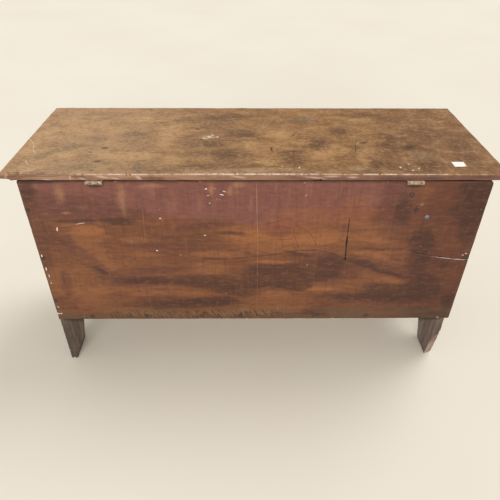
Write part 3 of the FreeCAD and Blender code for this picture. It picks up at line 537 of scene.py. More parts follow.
FAINT_SPECKS = (
    (235, 556, 2.6, 1.8), (193, 418, 3.6, 1.5, -30), (77, 285, 1.9, 2.2), (-141, 384, 3.4, 1.6, -35),
    (-68, 227, 1.9, 3.4, 15), (96, 615, 2.8, 1.2, 15), (121, 575, 1.3, 1.2), (92, 586, 1.6, 1.5),
    (85, 586, 1.5, 1.4), (-117, 630, 4, 1.4), (-123, 596, 1.6, 3.6, 15), (-200, 526, 1.4, 1.3),
    (314, 461, 1.8, 1.4), (488, 198.2, 2.4, 1.8), (-500, 276, 2, 1.4), (-282, 243, 1.6, 1.3),
    (-90, 198, 2, 1.8), (-433, 445, 2, 1.5), (-458, 426, 1.8, 1.5), (-470, 411, 2.4, 1.5),
    (300, 486, 1.6, 1.2), (-38, 212, 2, 1.4),
)
CLOUT_NAIL = (-429, 534)
# painted shade round each hinge, where its shadow falls on the back plank
HINGE_SHADOWS = [(sum(corner.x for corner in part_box(f"{side}_hinge_carcase_leaf")) / 2 / MM, 624, 27, 10, 0)
               for side in ("left", "right")]
TOOLED = ((330, 206, 130, 20), (200, 205, 150, 22), (80, 207, 110, 22), (-20, 208, 80, 18))


def make_back_finish():
    finish = Finish("panel_wood_back")
    grain(finish, 0, PANEL_WOOD, figure=0.6)
    face = finish.face(0, 2)
    shaken = frayed(finish, face, 3, 3, 6.0)
    outside = finish.along(1, 203, 207)
    streaky = finish.step(finish.streaks, 0.25, 0.65, 0.55, 1.0)
    # painted sheen: purplish clouds on the upper part stand for light reflected off the polish
    finish.lay(clouds(finish, face, BACK_SHEEN), "7c4e48", 0.8)
    finish.lay(clouds(finish, face, BACK_LIGHT), "8f5c38", 0.6)
    finish.lay(clouds(finish, face, BACK_EMBER), "a0663b", 0.5)
    finish.lay(clouds(finish, face, BACK_RED, 1.0), "7c4233", 0.45)
    wipes = finish.mottle(face, 34.0, 5.0, 4.0, 0.6)
    upper = finish.along(2, 520, 580)
    finish.lay((upper, finish.step(wipes, 0.52, 0.66)), "a3705c", 0.3)
    finish.lay((upper, finish.step(wipes, 0.48, 0.34)), "5d3a35", 0.3)
    finish.lay((clouds(finish, face, BACK_DUSK), streaky), "5a352b", 0.7)
    finish.lay((clouds(finish, face, BACK_DARK, 0.75), streaky), "40271f", 0.85)
    finish.lay(patches(finish, face, BACK_SMUDGES, 1.0, (20, 20, 2.0)), "a87c5c", 0.6)
    patina(finish, face)
    finish.lay(lines(finish, shaken, GRAIN_LINE, 2.6), "47291f", 0.65)
    finish.lay(lines(finish, shaken, RED_HAIRLINES, 1.4), "5c2a1b", 0.58)
    finish.lay(lines(finish, shaken, FAINT_PALE_LINES, 1.0), "b08a72", 0.25)
    finish.lay(lines(finish, shaken, PALE_LINES, 1.0), "c09a80", 0.45)
    dust = finish.step(finish.mottle(face, 9.0, 30.0, 4.0, 0.6), 0.36, 0.6)
    finish.lay((dust, finish.along(2, 246, 206)), "66543e", 0.7)
    finish.lay(patches(finish, face, TOOLED, 1.0, (30, 10, 2.0)), "8a6848", 0.6)
    slants = finish.step(finish.noise(finish.turned(face, (26, 4.2), 60), 1.0, 3.0, 0.6), 0.51, 0.61)
    slants = finish.times(slants, patches(finish, face, TOOLED, 0.5, (30, 14)))
    finish.lay(slants, "301e17", 0.8)
    finish.lift(finish.times(slants, outside), -0.8)
    places = [(nail.x, nail.z) for nail in back_nails]
    finish.lay(rings_round(finish, shaken, places), NAIL_STAIN, 0.7)
    finish.lay(rings_round(finish, shaken, [CLOUT_NAIL], 10.0, 0.55), "4a3a34", 0.6)
    rub(finish, "a07a5e", 0.4)
    # painted shade: dark patches round the hinges and under one end of the lid, and a dark band along the
    # top just under the lid, where the lid's shadow falls
    finish.lay(patches(finish, shaken, (*HINGE_SHADOWS, (530, 634, 100, 9)), 0.6), "2a1d19", 0.7)
    finish.lay(finish.along(2, 627, 632.5), "3a2420", 0.5)
    # painted shadow: the end faces of the back plank are darkened for the thin shadow that runs along its
    # outline
    ends = finish.calc("MAXIMUM", finish.along(0, 560, 561.5), finish.along(0, -566, -567.5))
    finish.lay(ends, "453427", 0.7)
    ragged = frayed(finish, face, 2, 2, 20.0)
    finish.lay(patches(finish, ragged, FAINT_SPECKS, 0.7), "d8c6b8", 0.5)
    specks = patches(finish, ragged, PAINT_SPECKS, 0.35)
    paint = finish.calc("MAXIMUM", specks, lines(finish, shaken, WHITE_SCRATCHES, 0.8))
    thin = finish.step(finish.noise(face, 22.0, 2.0), 0.40, 0.56, 0.55, 1.0)
    paint = finish.times(paint, thin, outside)
    bare(finish, finish.without(outside))
    finish.lay(1.0, "f3ede9", 1.0, "MULTIPLY")
    finish.lay(finish.along(2, 330, 230), "efece9", 1.0, "MULTIPLY")
    finish.lay(finish.along(0, -330, -500), "e8dcd4", 1.0, "MULTIPLY")
    finish.lay(paint, "e8e2da", 0.95)
    finish.lift(paint, 0.3)
    return finish.close(finish.step(finish.streaks, 0.3, 0.7, 0.44, 0.58), 0.35)


back_wood = make_back_finish()

# %% [markdown]
# ## Planks
# A plank keeps the outline that the frame gives it, with its hinge seats and holes. The frame's
# mesh is loose triangles, so a copy is merged and its flat faces are made whole. Then it is worn
# in four steps: the long arrises are bevelled, chips are cut out of them, lines are cut across
# the board so that there are points to move, and a displace pushes those points in, mostly near
# the arrises. It only pushes inwards, so a plank never grows out of its place.


# %% Taking a shape from the frame
FLAT, SHARP, SMOOTH = (math.radians(angle) for angle in (1, 40, 35))


def taken_from(node, name, material):
    """A new object with the shape of a node of the frame, its flat faces whole."""
    piece = bpy.data.objects.new(name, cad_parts[node].data.copy())
    piece.data.materials.clear()
    piece.data.materials.append(material)
    bpy.context.scene.collection.objects.link(piece)
    work_on(piece)
    bpy.ops.mesh.customdata_custom_splitnormals_clear()
    with editing(piece):
        bpy.ops.mesh.remove_doubles(threshold=0.01 * MM)
        bpy.ops.mesh.dissolve_limited(angle_limit=FLAT)
    return piece


def sharp(edge):
    """An edge between two faces that meet at a marked angle."""
    return len(edge.link_faces) == 2 and edge.calc_face_angle() > SHARP


def put(piece, body, node):
    """Hands a finished piece to the frame: smooths its shading, sets it in its body and hides the node it
    stands for.
    """
    work_on(piece)
    bpy.ops.object.shade_smooth_by_angle(angle=SMOOTH)
    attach(piece, body)
    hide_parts(node)
    print(piece.name, len(piece.data.polygons), "faces")


# %% Wearing a plank
POINT_SPACING = 3 * MM
END_CUT = 5 * MM


def arris_points(piece, shortest):
    """Points along the sharp edges of a piece, to measure how far a place is from one."""
    mesh = bmesh.new()
    mesh.from_mesh(piece.data)
    points = []
    for edge in mesh.edges:
        if sharp(edge) and edge.calc_length() > shortest:
            start, end = (vertex.co for vertex in edge.verts)
            steps = max(1, round(edge.calc_length() / POINT_SPACING))
            points += [start.lerp(end, i / steps) for i in range(steps + 1)]
    mesh.free()
    near = KDTree(len(points))
    for index, point in enumerate(points):
        near.insert(point, index)
    near.balance()
    return near, points


def ease(piece, radius, shortest):
    """Bevels the sharp edges that are longer than shortest."""
    with editing(piece, "EDGE"):
        pick("edges", lambda edge: sharp(edge) and edge.calc_length() > shortest)
        bpy.ops.mesh.bevel(offset=radius, segments=3, profile=0.5, clamp_overlap=True)


def cut_away(piece, cutters, material):
    """Cuts one shape made of several away, and gives the cut faces a material of their own."""
    for cutter in cutters:
        cutter.data.materials.append(material)
    cutter = joined(cutters)
    modify(piece, "BOOLEAN", operation="DIFFERENCE", object=cutter, solver="EXACT",
           use_self=True, material_mode="TRANSFER")
    bpy.data.objects.remove(cutter)


def shard(place, size, turn):
    """A rough lump to cut with: a low-sided ball, stretched and turned. In metres and radians."""
    return shape("ico_sphere", subdivisions=1, radius=1.0, location=place, rotation=turn, scale=size)


def chip(piece, points, count, size, seed, material):
    """Knocks small bits out of the arrises."""
    chance = random.Random(seed)
    lumps = []
    for _ in range(count):
        around = size * chance.uniform(0.4, 1.0)
        stretch = (around * chance.uniform(1.0, 3.0), around, around * chance.uniform(0.4, 0.8))
        turn = [chance.uniform(0, math.pi) for _ in range(3)]
        lumps.append(shard(chance.choice(points), stretch, turn))
    cut_away(piece, lumps, material)


def rule(piece, steps):
    """Cuts lines across the piece, a step apart along each axis, and near its ends even where step is 0."""
    low, high = extent([vertex.co for vertex in piece.data.vertices])
    with editing(piece):
        for axis, step in enumerate(steps):
            count = max(1, round((high[axis] - low[axis]) / step)) if step else 1
            places = [low[axis] + (high[axis] - low[axis]) * i / count for i in range(1, count)]
            places += [low[axis] + END_CUT, high[axis] - END_CUT]
            normal = [float(axis == i) for i in range(3)]
            for place in places:
                bpy.ops.mesh.select_all(action="SELECT")
                bpy.ops.mesh.bisect(plane_co=[place * n for n in normal], plane_no=normal)


def wear(piece, near, depth, reach, ripple):
    """Pushes the surface in: a little all over, and more near the arrises."""
    group = piece.vertex_groups.new(name="worn")
    closeness = [max(0.0, 1.0 - near.find(vertex.co)[2] / reach) for vertex in piece.data.vertices]
    for index, close in enumerate(closeness):
        group.add([index], close ** 2, "REPLACE")
    arris = piece.data.attributes.new("arris", "FLOAT", "POINT")
    arris.data.foreach_set("value", [max(0.0, 2 * close - 1) for close in closeness])
    for name, scale, strength, where in (("knocks", 0.035, depth, "worn"), ("ripple", 0.22, ripple, "")):
        pattern = bpy.data.textures.new(f"{piece.name}_{name}", "CLOUDS")
        pattern.noise_scale = scale
        pattern.noise_depth = 3
        modify(piece, "DISPLACE", texture=pattern, vertex_group=where, strength=-strength, mid_level=0.0)


# %% [markdown]
# ## The broken wood under the finish
# A chip or a gouge shows the wood under the finish: pale where it is fresh, and nearly black where
# a century of wax and dust has filled it. Both are materials of their own, and the boolean leaves
# them on the faces that it cuts.


# %% Wood in chips and gouges
def make_break(name, along, stops, stained=None):
    """Broken wood. stained is a colour, and the heights in mm where it begins and is full."""
    finish = Finish(name)
    grain(finish, along, stops, stretch=14.0)
    if stained:
        code, low, high = stained
        finish.lay(finish.along(2, low, high), code, 0.7)
    finish.lift(finish.noise(finish.place, 260.0, 3.0), 0.5)
    return finish.close(0.8)


worn_wood = make_break("worn_wood", 0, [(0.35, "6b4a36"), (0.6, "8f6a4d"), (0.75, "a27e5e")])
dark_wood = make_break("gouge_dirt", 0, [(0.35, "1c120d"), (0.7, "33221a")])

# %% [markdown]
# ## Making a plank
# Every plank goes through the same steps, so one function makes them all, and each plank says how
# hard its life was.


# %% A plank, start to finish
def round_corner(piece, x, z, radius):
    """Rounds an upright-standing board's corner, seen from its face."""
    def at_corner(edge):
        return all(abs(v.co.x - x) < MM and abs(v.co.z - z) < MM for v in edge.verts)
    with editing(piece, "EDGE"):
        pick("edges", at_corner)
        bpy.ops.mesh.bevel(offset=radius, segments=5, profile=0.5)


def plank(node, name, wood, radius, chips, steps, worn, body="carcase",
          shortest=60, corners=(), breaks=(), chipped_to=math.inf):
    """Makes a plank from a node. All sizes are in mm.

    radius is that of its arrises, chips the (count, size, seed) of what is knocked out of them,
    steps the way between cuts and worn the (depth, reach, ripple) of its wear. Edges under
    shortest are left alone. breaks are (cutters, material) pairs.
    """
    piece = taken_from(node, name, wood)
    near, points = arris_points(piece, shortest * MM)
    for corner in corners:
        round_corner(piece, *corner)
    ease(piece, radius * MM, shortest * MM)
    for cutters, material in breaks:
        cut_away(piece, cutters, material)
    count, size, seed = chips
    points = [point for point in points if point.z < chipped_to * MM]
    chip(piece, points, count, size * MM, seed, worn_wood)
    rule(piece, [step * MM for step in steps])
    wear(piece, near, *[length * MM for length in worn])
    put(piece, body, node)


# %% [markdown]
# ## The back plank
# It has two corners rounded by use, a deep upright gouge, and a split that runs in from its edge.
# Both are long and thin and bend a little, so a row of stretched lumps cuts each of them.


# %% The back plank
def groove(start, end, width, depth, face_y):
    """A lump that cuts a groove into an upright face from one (x, z) to another, in mm."""
    run = Vector(end) - Vector(start)
    middle = (Vector(start) + Vector(end)) / 2
    turn = (0.0, -math.atan2(run.y, run.x), 0.0)
    size = (run.length * 0.55 * MM, depth * MM, width / 2 * MM)
    return shard((middle.x * MM, face_y * MM, middle.y * MM), size, turn)


back_low, back_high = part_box("back_board")
GOUGE = ((-236.4, 535, -237.2, 478, 2.4, 1.6), (-237.0, 482, -238.6, 434, 5.0, 3.0),
         (-238.4, 444, -240.2, 404, 3.6, 2.4), (-240.0, 410, -240.2, 400, 7.0, 3.6))
SPLIT = ((-410, 425, -480, 411.6, 1.6, 5.0), (-472, 413.4, -530, 404.8, 1.6, 5.0),
         (-520, 406.4, -580, 399.6, 1.6, 5.0))
breaks = []
for route in (GOUGE, SPLIT):
    grooves = [groove((x, z), (x2, z2), wide, deep, back_high.y / MM) for x, z, x2, z2, wide, deep in route]
    breaks.append((grooves, dark_wood))
plank("back_board", "back_plank", back_wood, 1.5, (30, 3.0, 5), (12, 0, 12), (2.0, 9, 0.5),
      corners=((back_low.x, back_high.z, 6 * MM), (back_low.x, back_low.z, 3.5 * MM)), breaks=breaks)

# %% [markdown]
# ## The lid's finish
# The lid is worn and sunned to a golden olive-brown, mottled all over, with grey where wet things
# have stood. Its mottling is less drawn out along the grain than on the back.

# %% The lid's finish
LID_WOOD = [(0.28, "64452a"), (0.42, "7e5936"), (0.54, "956b41"), (0.70, "ae8250")]
LID_DARK = (
    (115, 40, 85, 42), (60, 112, 72, 58), (110, 96, 80, 24), (32, -22, 66, 50), (-238, -38, 56, 62),
    (-170, 38, 50, 62), (-372, 0, 60, 50), (-350, 80, 44, 80), (-480, -22, 90, 50), (-100, 140, 50, 60),
    (-302, 165, 34, 34), (-440, 60, 60, 50), (330, -20, 60, 50), (420, 10, 50, 40), (-100, 90, 40, 20),
    (-540, 80, 50, 110), (-420, 170, 110, 34), (500, 208, 50, 10), (80, -150, 120, 40),
    (-330, -160, 90, 40), (430, -170, 80, 36),
)
LID_GREY = (
    (524, 112, 50, 16, 62), (480, 70, 60, 24, 30), (283, 170, 13, 46), (-276, 200, 10, 30),
    (420, 178, 60, 26), (310, 0, 40, 40), (-150, -130, 50, 36, 20), (-420, 110, 60, 30),
)
LID_LIGHT = (
    (578, 65, 36, 80), (480, 118, 50, 34), (235, 15, 50, 80), (225, -55, 50, 50), (130, -5, 34, 24),
    (-70, -20, 66, 66), (10, 50, 30, 46), (-216, 76, 42, 48), (-290, 84, 34, 54), (-311, 24, 22, 28),
    (-268, 140, 20, 50), (-170, 110, 60, 40), (330, 112, 120, 44), (540, 178, 34, 26), (-28, 148, 30, 34),
    (200, 150, 60, 50), (560, -20, 40, 50), (500, -50, 60, 30), (-30, 185, 110, 10), (-300, -130, 90, 40),
    (300, -130, 90, 40),
)
LID_DUST = ((20, 198, 240, 15), (-245, 183, 32, 26), (470, 204, 120, 12), (120, 2, 34, 18))
LID_KNOTS = (
    (-398, 66, 34, 22, 30), (384, 70, 14, 10), (386, 147, 16, 9), (157, -56, 10, 8), (416, 94, 6, 6),
    (-44, 76, 5, 20), (-98, 92, 7, 10), (-290, 36, 20, 8, 30), (388, 194, 8, 5), (-12, 10, 6, 5),
)
LID_CRACKS = [[(-276, 12), (-265, 44), (-263, 66), (-256, 96)], [(-43, 66), (-45, 90)],
              [(-97, 5), (-120, -43), (-137, -50)], [(-394, -50), (-432, -36), (-497, -23)],
              [(150, 12), (60, 22), (-20, 18)], [(-120, 30), (-190, 22)], [(520, -20), (470, -34)]]
LID_PALE_SCRATCHES = [[(600, 10), (584, 30), (574, 46), (566, 75), (550, 105)], [(563, 140), (546, 167)],
                      [(551, 204), (522, 188)], [(-108, 172), (-106, 186)], [(-398, 178), (-390, 190)]]
LID_PALE_SPOTS = (
    (134, 6, 6, 4, 20), (120, -2, 8, 6, -20), (112, -14, 4, 5), (98, -2, 4, 5), (494, 78, 3, 2.4),
    (128, 12, 7, 2), (-106, 180, 2, 4), (-65, 174, 2.4, 2.4), (-350, 178, 3, 6), (-374, 162, 3, 3),
    (-376, 194, 4, 3), (-392, 184, 2, 4), (-358, 188, 2, 2),
)
WORN_ARRIS_HIGHLIGHT = ((-10, 214, 330, 8), (70, 214, 200, 9), (-320, 214, 270, 4.5), (300, 214, 190, 4))
LID_EDGE_DARK = (
    (505, 650, 16, 4), (477, 649, 9, 3), (560, 640, 24, 3, -6), (525, 636, 20, 3), (-8, 650, 18, 3),
    (-330, 640, 60, 5), (-540, 645, 50, 6), (-300, 650, 14, 5), (-420, 641, 40, 5),
)
LID_EDGE_PALE = (
    (434, 644, 3, 14, 4), (488, 637.5, 18, 3.4, 8), (585, 646, 6, 4, 30), (552, 650, 6, 4),
    (405, 640, 14, 4, 20), (274, 643, 14, 6, 40), (360, 645, 24, 5, 12), (330, 641, 16, 3, 10),
    (-140, 643, 40, 4, 6), (-180, 646, 30, 4), (-230, 644, 20, 4), (40, 645, 26, 4, 8),
)


def make_lid_finish():
    finish = Finish("lid_wood_worn")
    grain(finish, 0, LID_WOOD, stretch=4.0, figure=0.45, drift=0.09)
    face = finish.face(0, 1)
    shaken = frayed(finish, face, 5, 5, 5.0)
    finish.lay(clouds(finish, face, LID_LIGHT, 0.8), "bf935f", 0.6)
    finish.lay(clouds(finish, face, LID_DARK, 0.8), "5a3920", 0.72)
    # painted light: the lid is paler towards one end and darker towards the other, for the fall of light
    # across it
    finish.lay(finish.along(0, 100, 460), "cba47b", 0.45)
    finish.lay(finish.along(0, -120, -420), "744d30", 0.42)
    finish.lay(clouds(finish, face, LID_GREY, 0.8), "75654c", 0.6)
    finish.lay(patches(finish, face, LID_DUST, 1.0, (24, 8, 2.0)), "b29a7e", 0.5)
    mottle = finish.mottle(face, 20.0, 28.0, 7.0, 0.74)
    finish.lay(finish.step(mottle, 0.47, 0.66), "563b28", 0.38)
    finish.lay(finish.step(mottle, 0.50, 0.36), "c0976b", 0.32)
    crazing = finish.mottle(face, 90.0, 130.0, 4.0, 0.7)
    finish.lay(finish.step(crazing, 0.52, 0.64), "4a301d", 0.42)
    finish.lay(finish.step(crazing, 0.47, 0.35), "c9a57c", 0.34)
    finish.lay(patches(finish, face, LID_KNOTS, 0.8, (14, 12, 3.0)), "3f2a1b", 0.85)
    cracks = lines(finish, shaken, LID_CRACKS, 1.1)
    finish.lay(cracks, "2c1c12", 0.8)
    finish.lift(cracks, -0.6)
    finish.lay(lines(finish, shaken, LID_PALE_SCRATCHES, 1.7), "dcc3a4", 0.6)
    finish.lay(patches(finish, face, LID_PALE_SPOTS, 0.5, (3, 3, 16.0)), "e4dccb", 0.8)
    pits = finish.noise(finish.place, 420.0, 2.0, 0.5)
    finish.lay(finish.step(pits, 0.60, 0.72), "3a271a", 0.5)
    # painted sheen: a faint grey haze over one end of the lid stands for light reflected off its surface
    finish.lay(finish.along(0, -300, 400), "b4a898", 0.09)
    edge = finish.calc("MAXIMUM", finish.along(1, 212.2, 213.4), finish.along(2, 650, 647.5))
    dull = finish.mix(finish.along(0, 300, -500), tone("9a7660"), tone("6f4c42"))
    finish.lay(edge, finish.mix(finish.step(finish.streaks, 0.42, 0.62), dull, tone("66463b")), 0.88)
    edge_face = frayed(finish, finish.face(0, 2), 4, 3, 8.0)
    finish.lay((patches(finish, edge_face, LID_EDGE_DARK, 1.0), edge), "4a3630", 0.7)
    finish.lay((patches(finish, edge_face, LID_EDGE_PALE, 1.0), edge), "dcc0ac", 0.5)
    bare(finish, finish.along(2, 637.5, 635.5))
    # wear and painted highlight: the pale rub on the upper arrises and the pale band along the back arris
    # show wear and also stand for light caught by the rounded edge
    rub(finish, "c9a684", finish.times(finish.along(2, 643, 646), 0.55), 110.0)
    broken_up = finish.step(finish.noise(finish.place, 90.0, 5.0, 0.75), 0.40, 0.56)
    worn = patches(finish, face, WORN_ARRIS_HIGHLIGHT, 0.8, (12, 3, 4.0))
    finish.lay((worn, finish.along(2, 649, 651.5), broken_up), "e6cdb8", 0.75)
    finish.lift(mottle, 0.5)
    return finish.close(finish.step(mottle, 0.35, 0.65, 0.54, 0.7), 0.22)


lid_wood = make_lid_finish()

# %% [markdown]
# ## The lid
# The lid is the plank that is handled most. Its arrises are the roundest, and its back left corner,
# seen from behind, is worn down on top and has lost a splinter from underneath.

# %% The lid plank
lid_low, lid_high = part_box("lid")
splinter = shard((lid_high.x, lid_high.y, lid_low.z), (30 * MM, 22 * MM, 6 * MM), (0, 0.1, 0.1))
breaks = [([splinter], worn_wood)]
for x, long in ((601, 90), (540, 60), (490, 70)):
    worn_down = shard((x * MM, lid_high.y, lid_high.z), (long * MM, 13 * MM, 8 * MM), (0.6, 0, 0.02))
    breaks.append(([worn_down], lid_wood))
plank("lid", "lid_plank", lid_wood, 2.6, (34, 3.2, 11), (12, 12, 0), (2.4, 11, 0.7),
      "lid", breaks=breaks)

# %% [markdown]
# ## The front plank
# The front carries the same stain, but was dusted and waxed, so it is more even. It is darkest
# along the edges, and rubbed pale round the keyhole and along the rim, where hands have been.


# %% The front plank
FRONT_LIGHT = (
    (-240, 400, 220, 44), (160, 480, 200, 34), (330, 252, 190, 30), (-60, 336, 170, 26),
    (-420, 236, 130, 30), (430, 556, 110, 30), (-440, 560, 110, 34), (80, 400, 120, 20, 3),
)
FRONT_DARK = (
    (-430, 310, 160, 46), (-120, 256, 220, 34, 2), (240, 330, 200, 40, -2), (430, 456, 120, 50),
    (-280, 510, 170, 34), (60, 436, 240, 20, 3), (-530, 420, 50, 190), (530, 330, 50, 200),
    (250, 590, 160, 24), (-150, 600, 90, 20), (-60, 380, 120, 12, -2), (330, 392, 110, 12, 2),
)
FRONT_SCRATCHES = [[(-262, 421), (-180, 452)], [(140, 300), (218, 286)], [(331, 482), (347, 428)],
                   [(-395, 348), (-330, 341)], [(-70, 561), (-38, 506)], [(12, 545), (34, 498)],
                   [(420, 268), (466, 291)], [(-158, 222), (-120, 228)]]


def make_front_finish():
    finish = Finish("panel_wood_front")
    grain(finish, 0, PANEL_WOOD, figure=0.6)
    face = finish.face(0, 2)
    streaky = finish.step(finish.streaks, 0.25, 0.65, 0.55, 1.0)
    finish.lay(clouds(finish, face, FRONT_LIGHT), "96623c", 0.6)
    finish.lay((clouds(finish, face, FRONT_DARK, 0.75), streaky), "452b22", 0.75)
    patina(finish, face, 0.35)
    outside = finish.along(1, -190, -194)
    shaken = frayed(finish, face, 3, 3, 6.0)
    scratches = finish.times(lines(finish, shaken, FRONT_SCRATCHES, 1.1), outside)
    finish.lay(scratches, "b08a6c", 0.45)
    finish.lift(scratches, -0.4)
    low, high = (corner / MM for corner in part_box("front_board"))
    finish.lay(finish.along(2, low.z + 90, low.z), "452c22", 0.6)
    handled = ((-18, 590, 90, 66), (0, high.z, 330, 26))
    finish.lay(patches(finish, face, handled, 1.0, (20, 20)), "ad7a52", 0.55)
    nails = spots_of("front_bottom_nails", "front_end_nails", "till_nails")
    places = [(nail.x, nail.z) for nail in nails if nail.y < 0]
    finish.lay(rings_round(finish, shaken, places), NAIL_STAIN, 0.7)
    rub(finish, "a98262", 0.55)
    bare(finish, finish.without(outside))
    return finish.close(finish.step(finish.streaks, 0.3, 0.7, 0.36, 0.54))


plank("front_board", "front_plank", make_front_finish(), 1.5, (26, 2.8, 23), (12, 0, 12), (1.8, 9, 0.5))

# %% [markdown]
# ## The end planks
# The grain of an end plank stands upright, so that its feet don't break off. Above the floor of the
# chest its outer face has the finish of the rest. The feet take the wet and the broom, and have gone
# a dark grey-brown with upright streaks. One back foot has lost its corner and shows paler wood.


# %% The end planks' finish
def make_end_finish(name, outer, inner, painted_edge_shade):
    """outer and inner are the x, in mm, of the two faces, and painted_edge_shade how dark the back edge is
    painted, as painted shade.
    """
    finish = Finish(name)
    grain(finish, 2, PANEL_WOOD, figure=0.6)
    face = finish.face(1, 2)
    blotches = finish.mottle(face, 9.0, 3.0, 4.0, 0.6, 1.6)
    finish.lay(finish.step(blotches, 0.48, 0.64), "4a2f25", 0.65)
    patina(finish, face, 0.3, True)
    middle = (outer + inner) / 2
    skin = (outer - inner) * 0.2
    inward = finish.along(0, middle + skin, middle - skin)
    outward = finish.along(0, middle - skin, middle + skin)
    below_floor = finish.along(2, 196, 192)
    bare(finish, finish.times(inward, finish.along(2, 194, 198)))
    reach = finish.step(finish.mottle(face, 16.0, 3.0, 4.0), 0.3, 0.7, 0.0, 130 * MM)
    foot = finish.step(finish.calc("ADD", finish.parts[2], reach), 300 * MM, 170 * MM)
    foot = finish.calc("MAXIMUM", foot, finish.times(inward, below_floor))
    upright = finish.mottle(face, 70.0, 6.0, 5.0, 0.65)
    mixed = finish.calc("ADD", finish.times(upright, 0.6), finish.times(blotches, 0.4))
    grime = finish.ramp(mixed, [(0.36, "5a4d47"), (0.48, "796b62"), (0.58, "92847b"), (0.70, "a08f7e")])
    finish.lay(foot, grime, 0.92)
    finish.lay((foot, outward), "4f392d", 0.68)
    # painted shade: the foot's narrow back edge is darkened, more on one plank than the other, as the light
    # falls
    finish.lay((foot, finish.along(1, 190, 194)), "3c302a", painted_edge_shade)
    # painted shadow: a dark wedge at the top of each foot's inner face, where the back and front planks cast
    # their shadow
    depth = finish.calc("SUBTRACT", 215 * MM, finish.calc("ABSOLUTE", finish.parts[1]))
    shadow_wedge = finish.step(finish.calc("ADD", finish.parts[2], depth), 176 * MM, 188 * MM)
    finish.lay((shadow_wedge, finish.without(outward), below_floor), "2c221d", 0.7)
    finish.lay((finish.along(2, 22, 3), finish.step(upright, 0.42, 0.6)), "352a26", 0.7)
    rust = finish.step(finish.mottle(face, 34.0, 9.0, 3.0, scale=1.2), 0.52, 0.64)
    finish.lay((foot, rust, finish.along(2, 130, 70)), "6b4238", 0.55)
    rub(finish, "9c8470", 0.35)
    return finish.close(finish.step(finish.streaks, 0.3, 0.7, 0.55, 0.75))


# %% The end planks
def end_plank(side, seed, painted_edge_shade, cutters):
    """One end plank. cutters are the lumps that break its foot."""
    node = f"{side}_end_board"
    low, high = (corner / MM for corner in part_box(node))
    outer, inner = (high.x, low.x) if high.x > 0 else (low.x, high.x)
    wood = make_end_finish(f"end_wood_{side}_end_plank", outer, inner, painted_edge_shade)
    plank(node, f"{side}_end_plank", wood, 1.4, (12, 3.4, seed), (0, 12, 12), (2.4, 10, 0.6),
          shortest=30, breaks=[(cutters, split_wood)], chipped_to=200)


def wedge(point, normal, size, seed):
    """A rough block whose underside lies on a plane, to break a corner off with."""
    normal = Vector(normal).normalized()
    turn = normal.to_track_quat("Z", "Y").to_euler()
    block = shape("cube", size=size, location=Vector(point) * MM + normal * size / 2, rotation=turn)
    bpy.ops.object.transform_apply(location=True, rotation=True, scale=True)
    with editing(block):
        bpy.ops.mesh.subdivide(number_cuts=17)
        bpy.ops.transform.vertex_random(offset=2.2 * MM, seed=seed, normal=0.0)
    return block


split_wood = make_break("split_wood", 2, [(0.35, "7d685b"), (0.55, "a08a7c"), (0.72, "bca696")],
                        ("6a4a38", 36, 74))
broken_corner = wedge((-557, 187.4, 50), (-0.32, 1.0, -0.177), 0.16, 3)
toe_notch = shard((0.561, 0.190, 0.0), (5 * MM, 9 * MM, 9 * MM), (0.2, 0.3, 0.0))
end_plank("left", 31, 0.65, [broken_corner])
end_plank("right", 37, 0.9, [toe_notch])

# %% [markdown]
# ## Inside the chest
# The floor of the chest and the small till across its left end were never finished. They are plain
# sawn boards, dusty, with darker stains here and there.


# %% Inner boards
def make_inner_finish(name, along):
    finish = Finish(name)
    grain(finish, along, RAW_WOOD, stretch=10.0)
    bare(finish, finish.step(finish.noise(finish.place, 5.0, 3.0), 0.35, 0.6))
    stains = finish.noise(finish.scaled(finish.place, (3.0, 8.0, 3.0)), 2.0, 4.0)
    finish.lay(finish.step(stains, 0.56, 0.68), "54402f", 0.5)
    rub(finish, "b39a78", 0.4)
    return finish.close(0.75)


long_raw_wood = make_inner_finish("raw_wood_long", 0)
cross_raw_wood = make_inner_finish("raw_wood_cross", 1)
for node, name, wood, steps, seed in (
    ("bottom_board", "bottom_plank", long_raw_wood, (16, 16, 0), 41),
    ("till_bottom", "till_bottom_board", cross_raw_wood, (12, 12, 0), 42),
    ("till_side", "till_side_board", cross_raw_wood, (0, 12, 8), 43),
    ("till_lid", "till_lid_board", cross_raw_wood, (12, 12, 0), 44),
):
    body = "till_lid" if node == "till_lid" else "carcase"
    plank(node, name, wood, 0.8, (8, 1.6, seed), steps, (0.8, 6, 0.4), body, 30)

# %% [markdown]
# ## Wrought iron
# The nails, the lock and its plates are hand-forged iron. It is almost black, brown where it rusts,
# and grey on the high spots that get touched. The finish mixes the three by noise.


# %% Metals
def make_metal(name, dark, main, bright, metallic, roughness, scale=70.0):
    finish = Finish(name)
    cloud = finish.noise(finish.place, scale, 5.0, 0.65)
    finish.colour = finish.ramp(cloud, [(0.34, dark), (0.48, main), (0.56, main), (0.70, bright)])
    pits = finish.noise(finish.place, scale * 9, 3.0, 0.6)
    finish.lay(finish.step(pits, 0.54, 0.66), dark, 0.6)
    finish.lift(pits, -0.25)
    finish.lift(cloud, 0.4)
    return finish.close(finish.step(cloud, 0.4, 0.65, roughness + 0.15, roughness), metallic=metallic)


wrought_iron = make_metal("wrought_iron", "2a1f1a", "4a423d", "6b625b", 0.35, 0.55)
clout_steel = make_metal("clout_steel", "4c4a49", "757b80", "949ca2", 0.5, 0.42, 160.0)
hinge_brass = make_metal("hinge_brass", "3c2e25", "a38a72", "dcc8b0", 0.3, 0.42, 130.0)
screw_steel = make_metal("screw_steel", "3f3833", "75706a", "9a958c", 0.7, 0.4, 200.0)

# %% [markdown]
# ## Nails
# A rose-headed nail has a head hammered to a few flat facets, and a square shank that tapers. One
# is modelled with the top of its head at the origin: an eight-sided cone, whose underside is inset
# and drawn out into the shank. Every nail is a copy with its own mesh, turned and tilted a little.


# %% Nails
NAIL_LEAN = 3.0


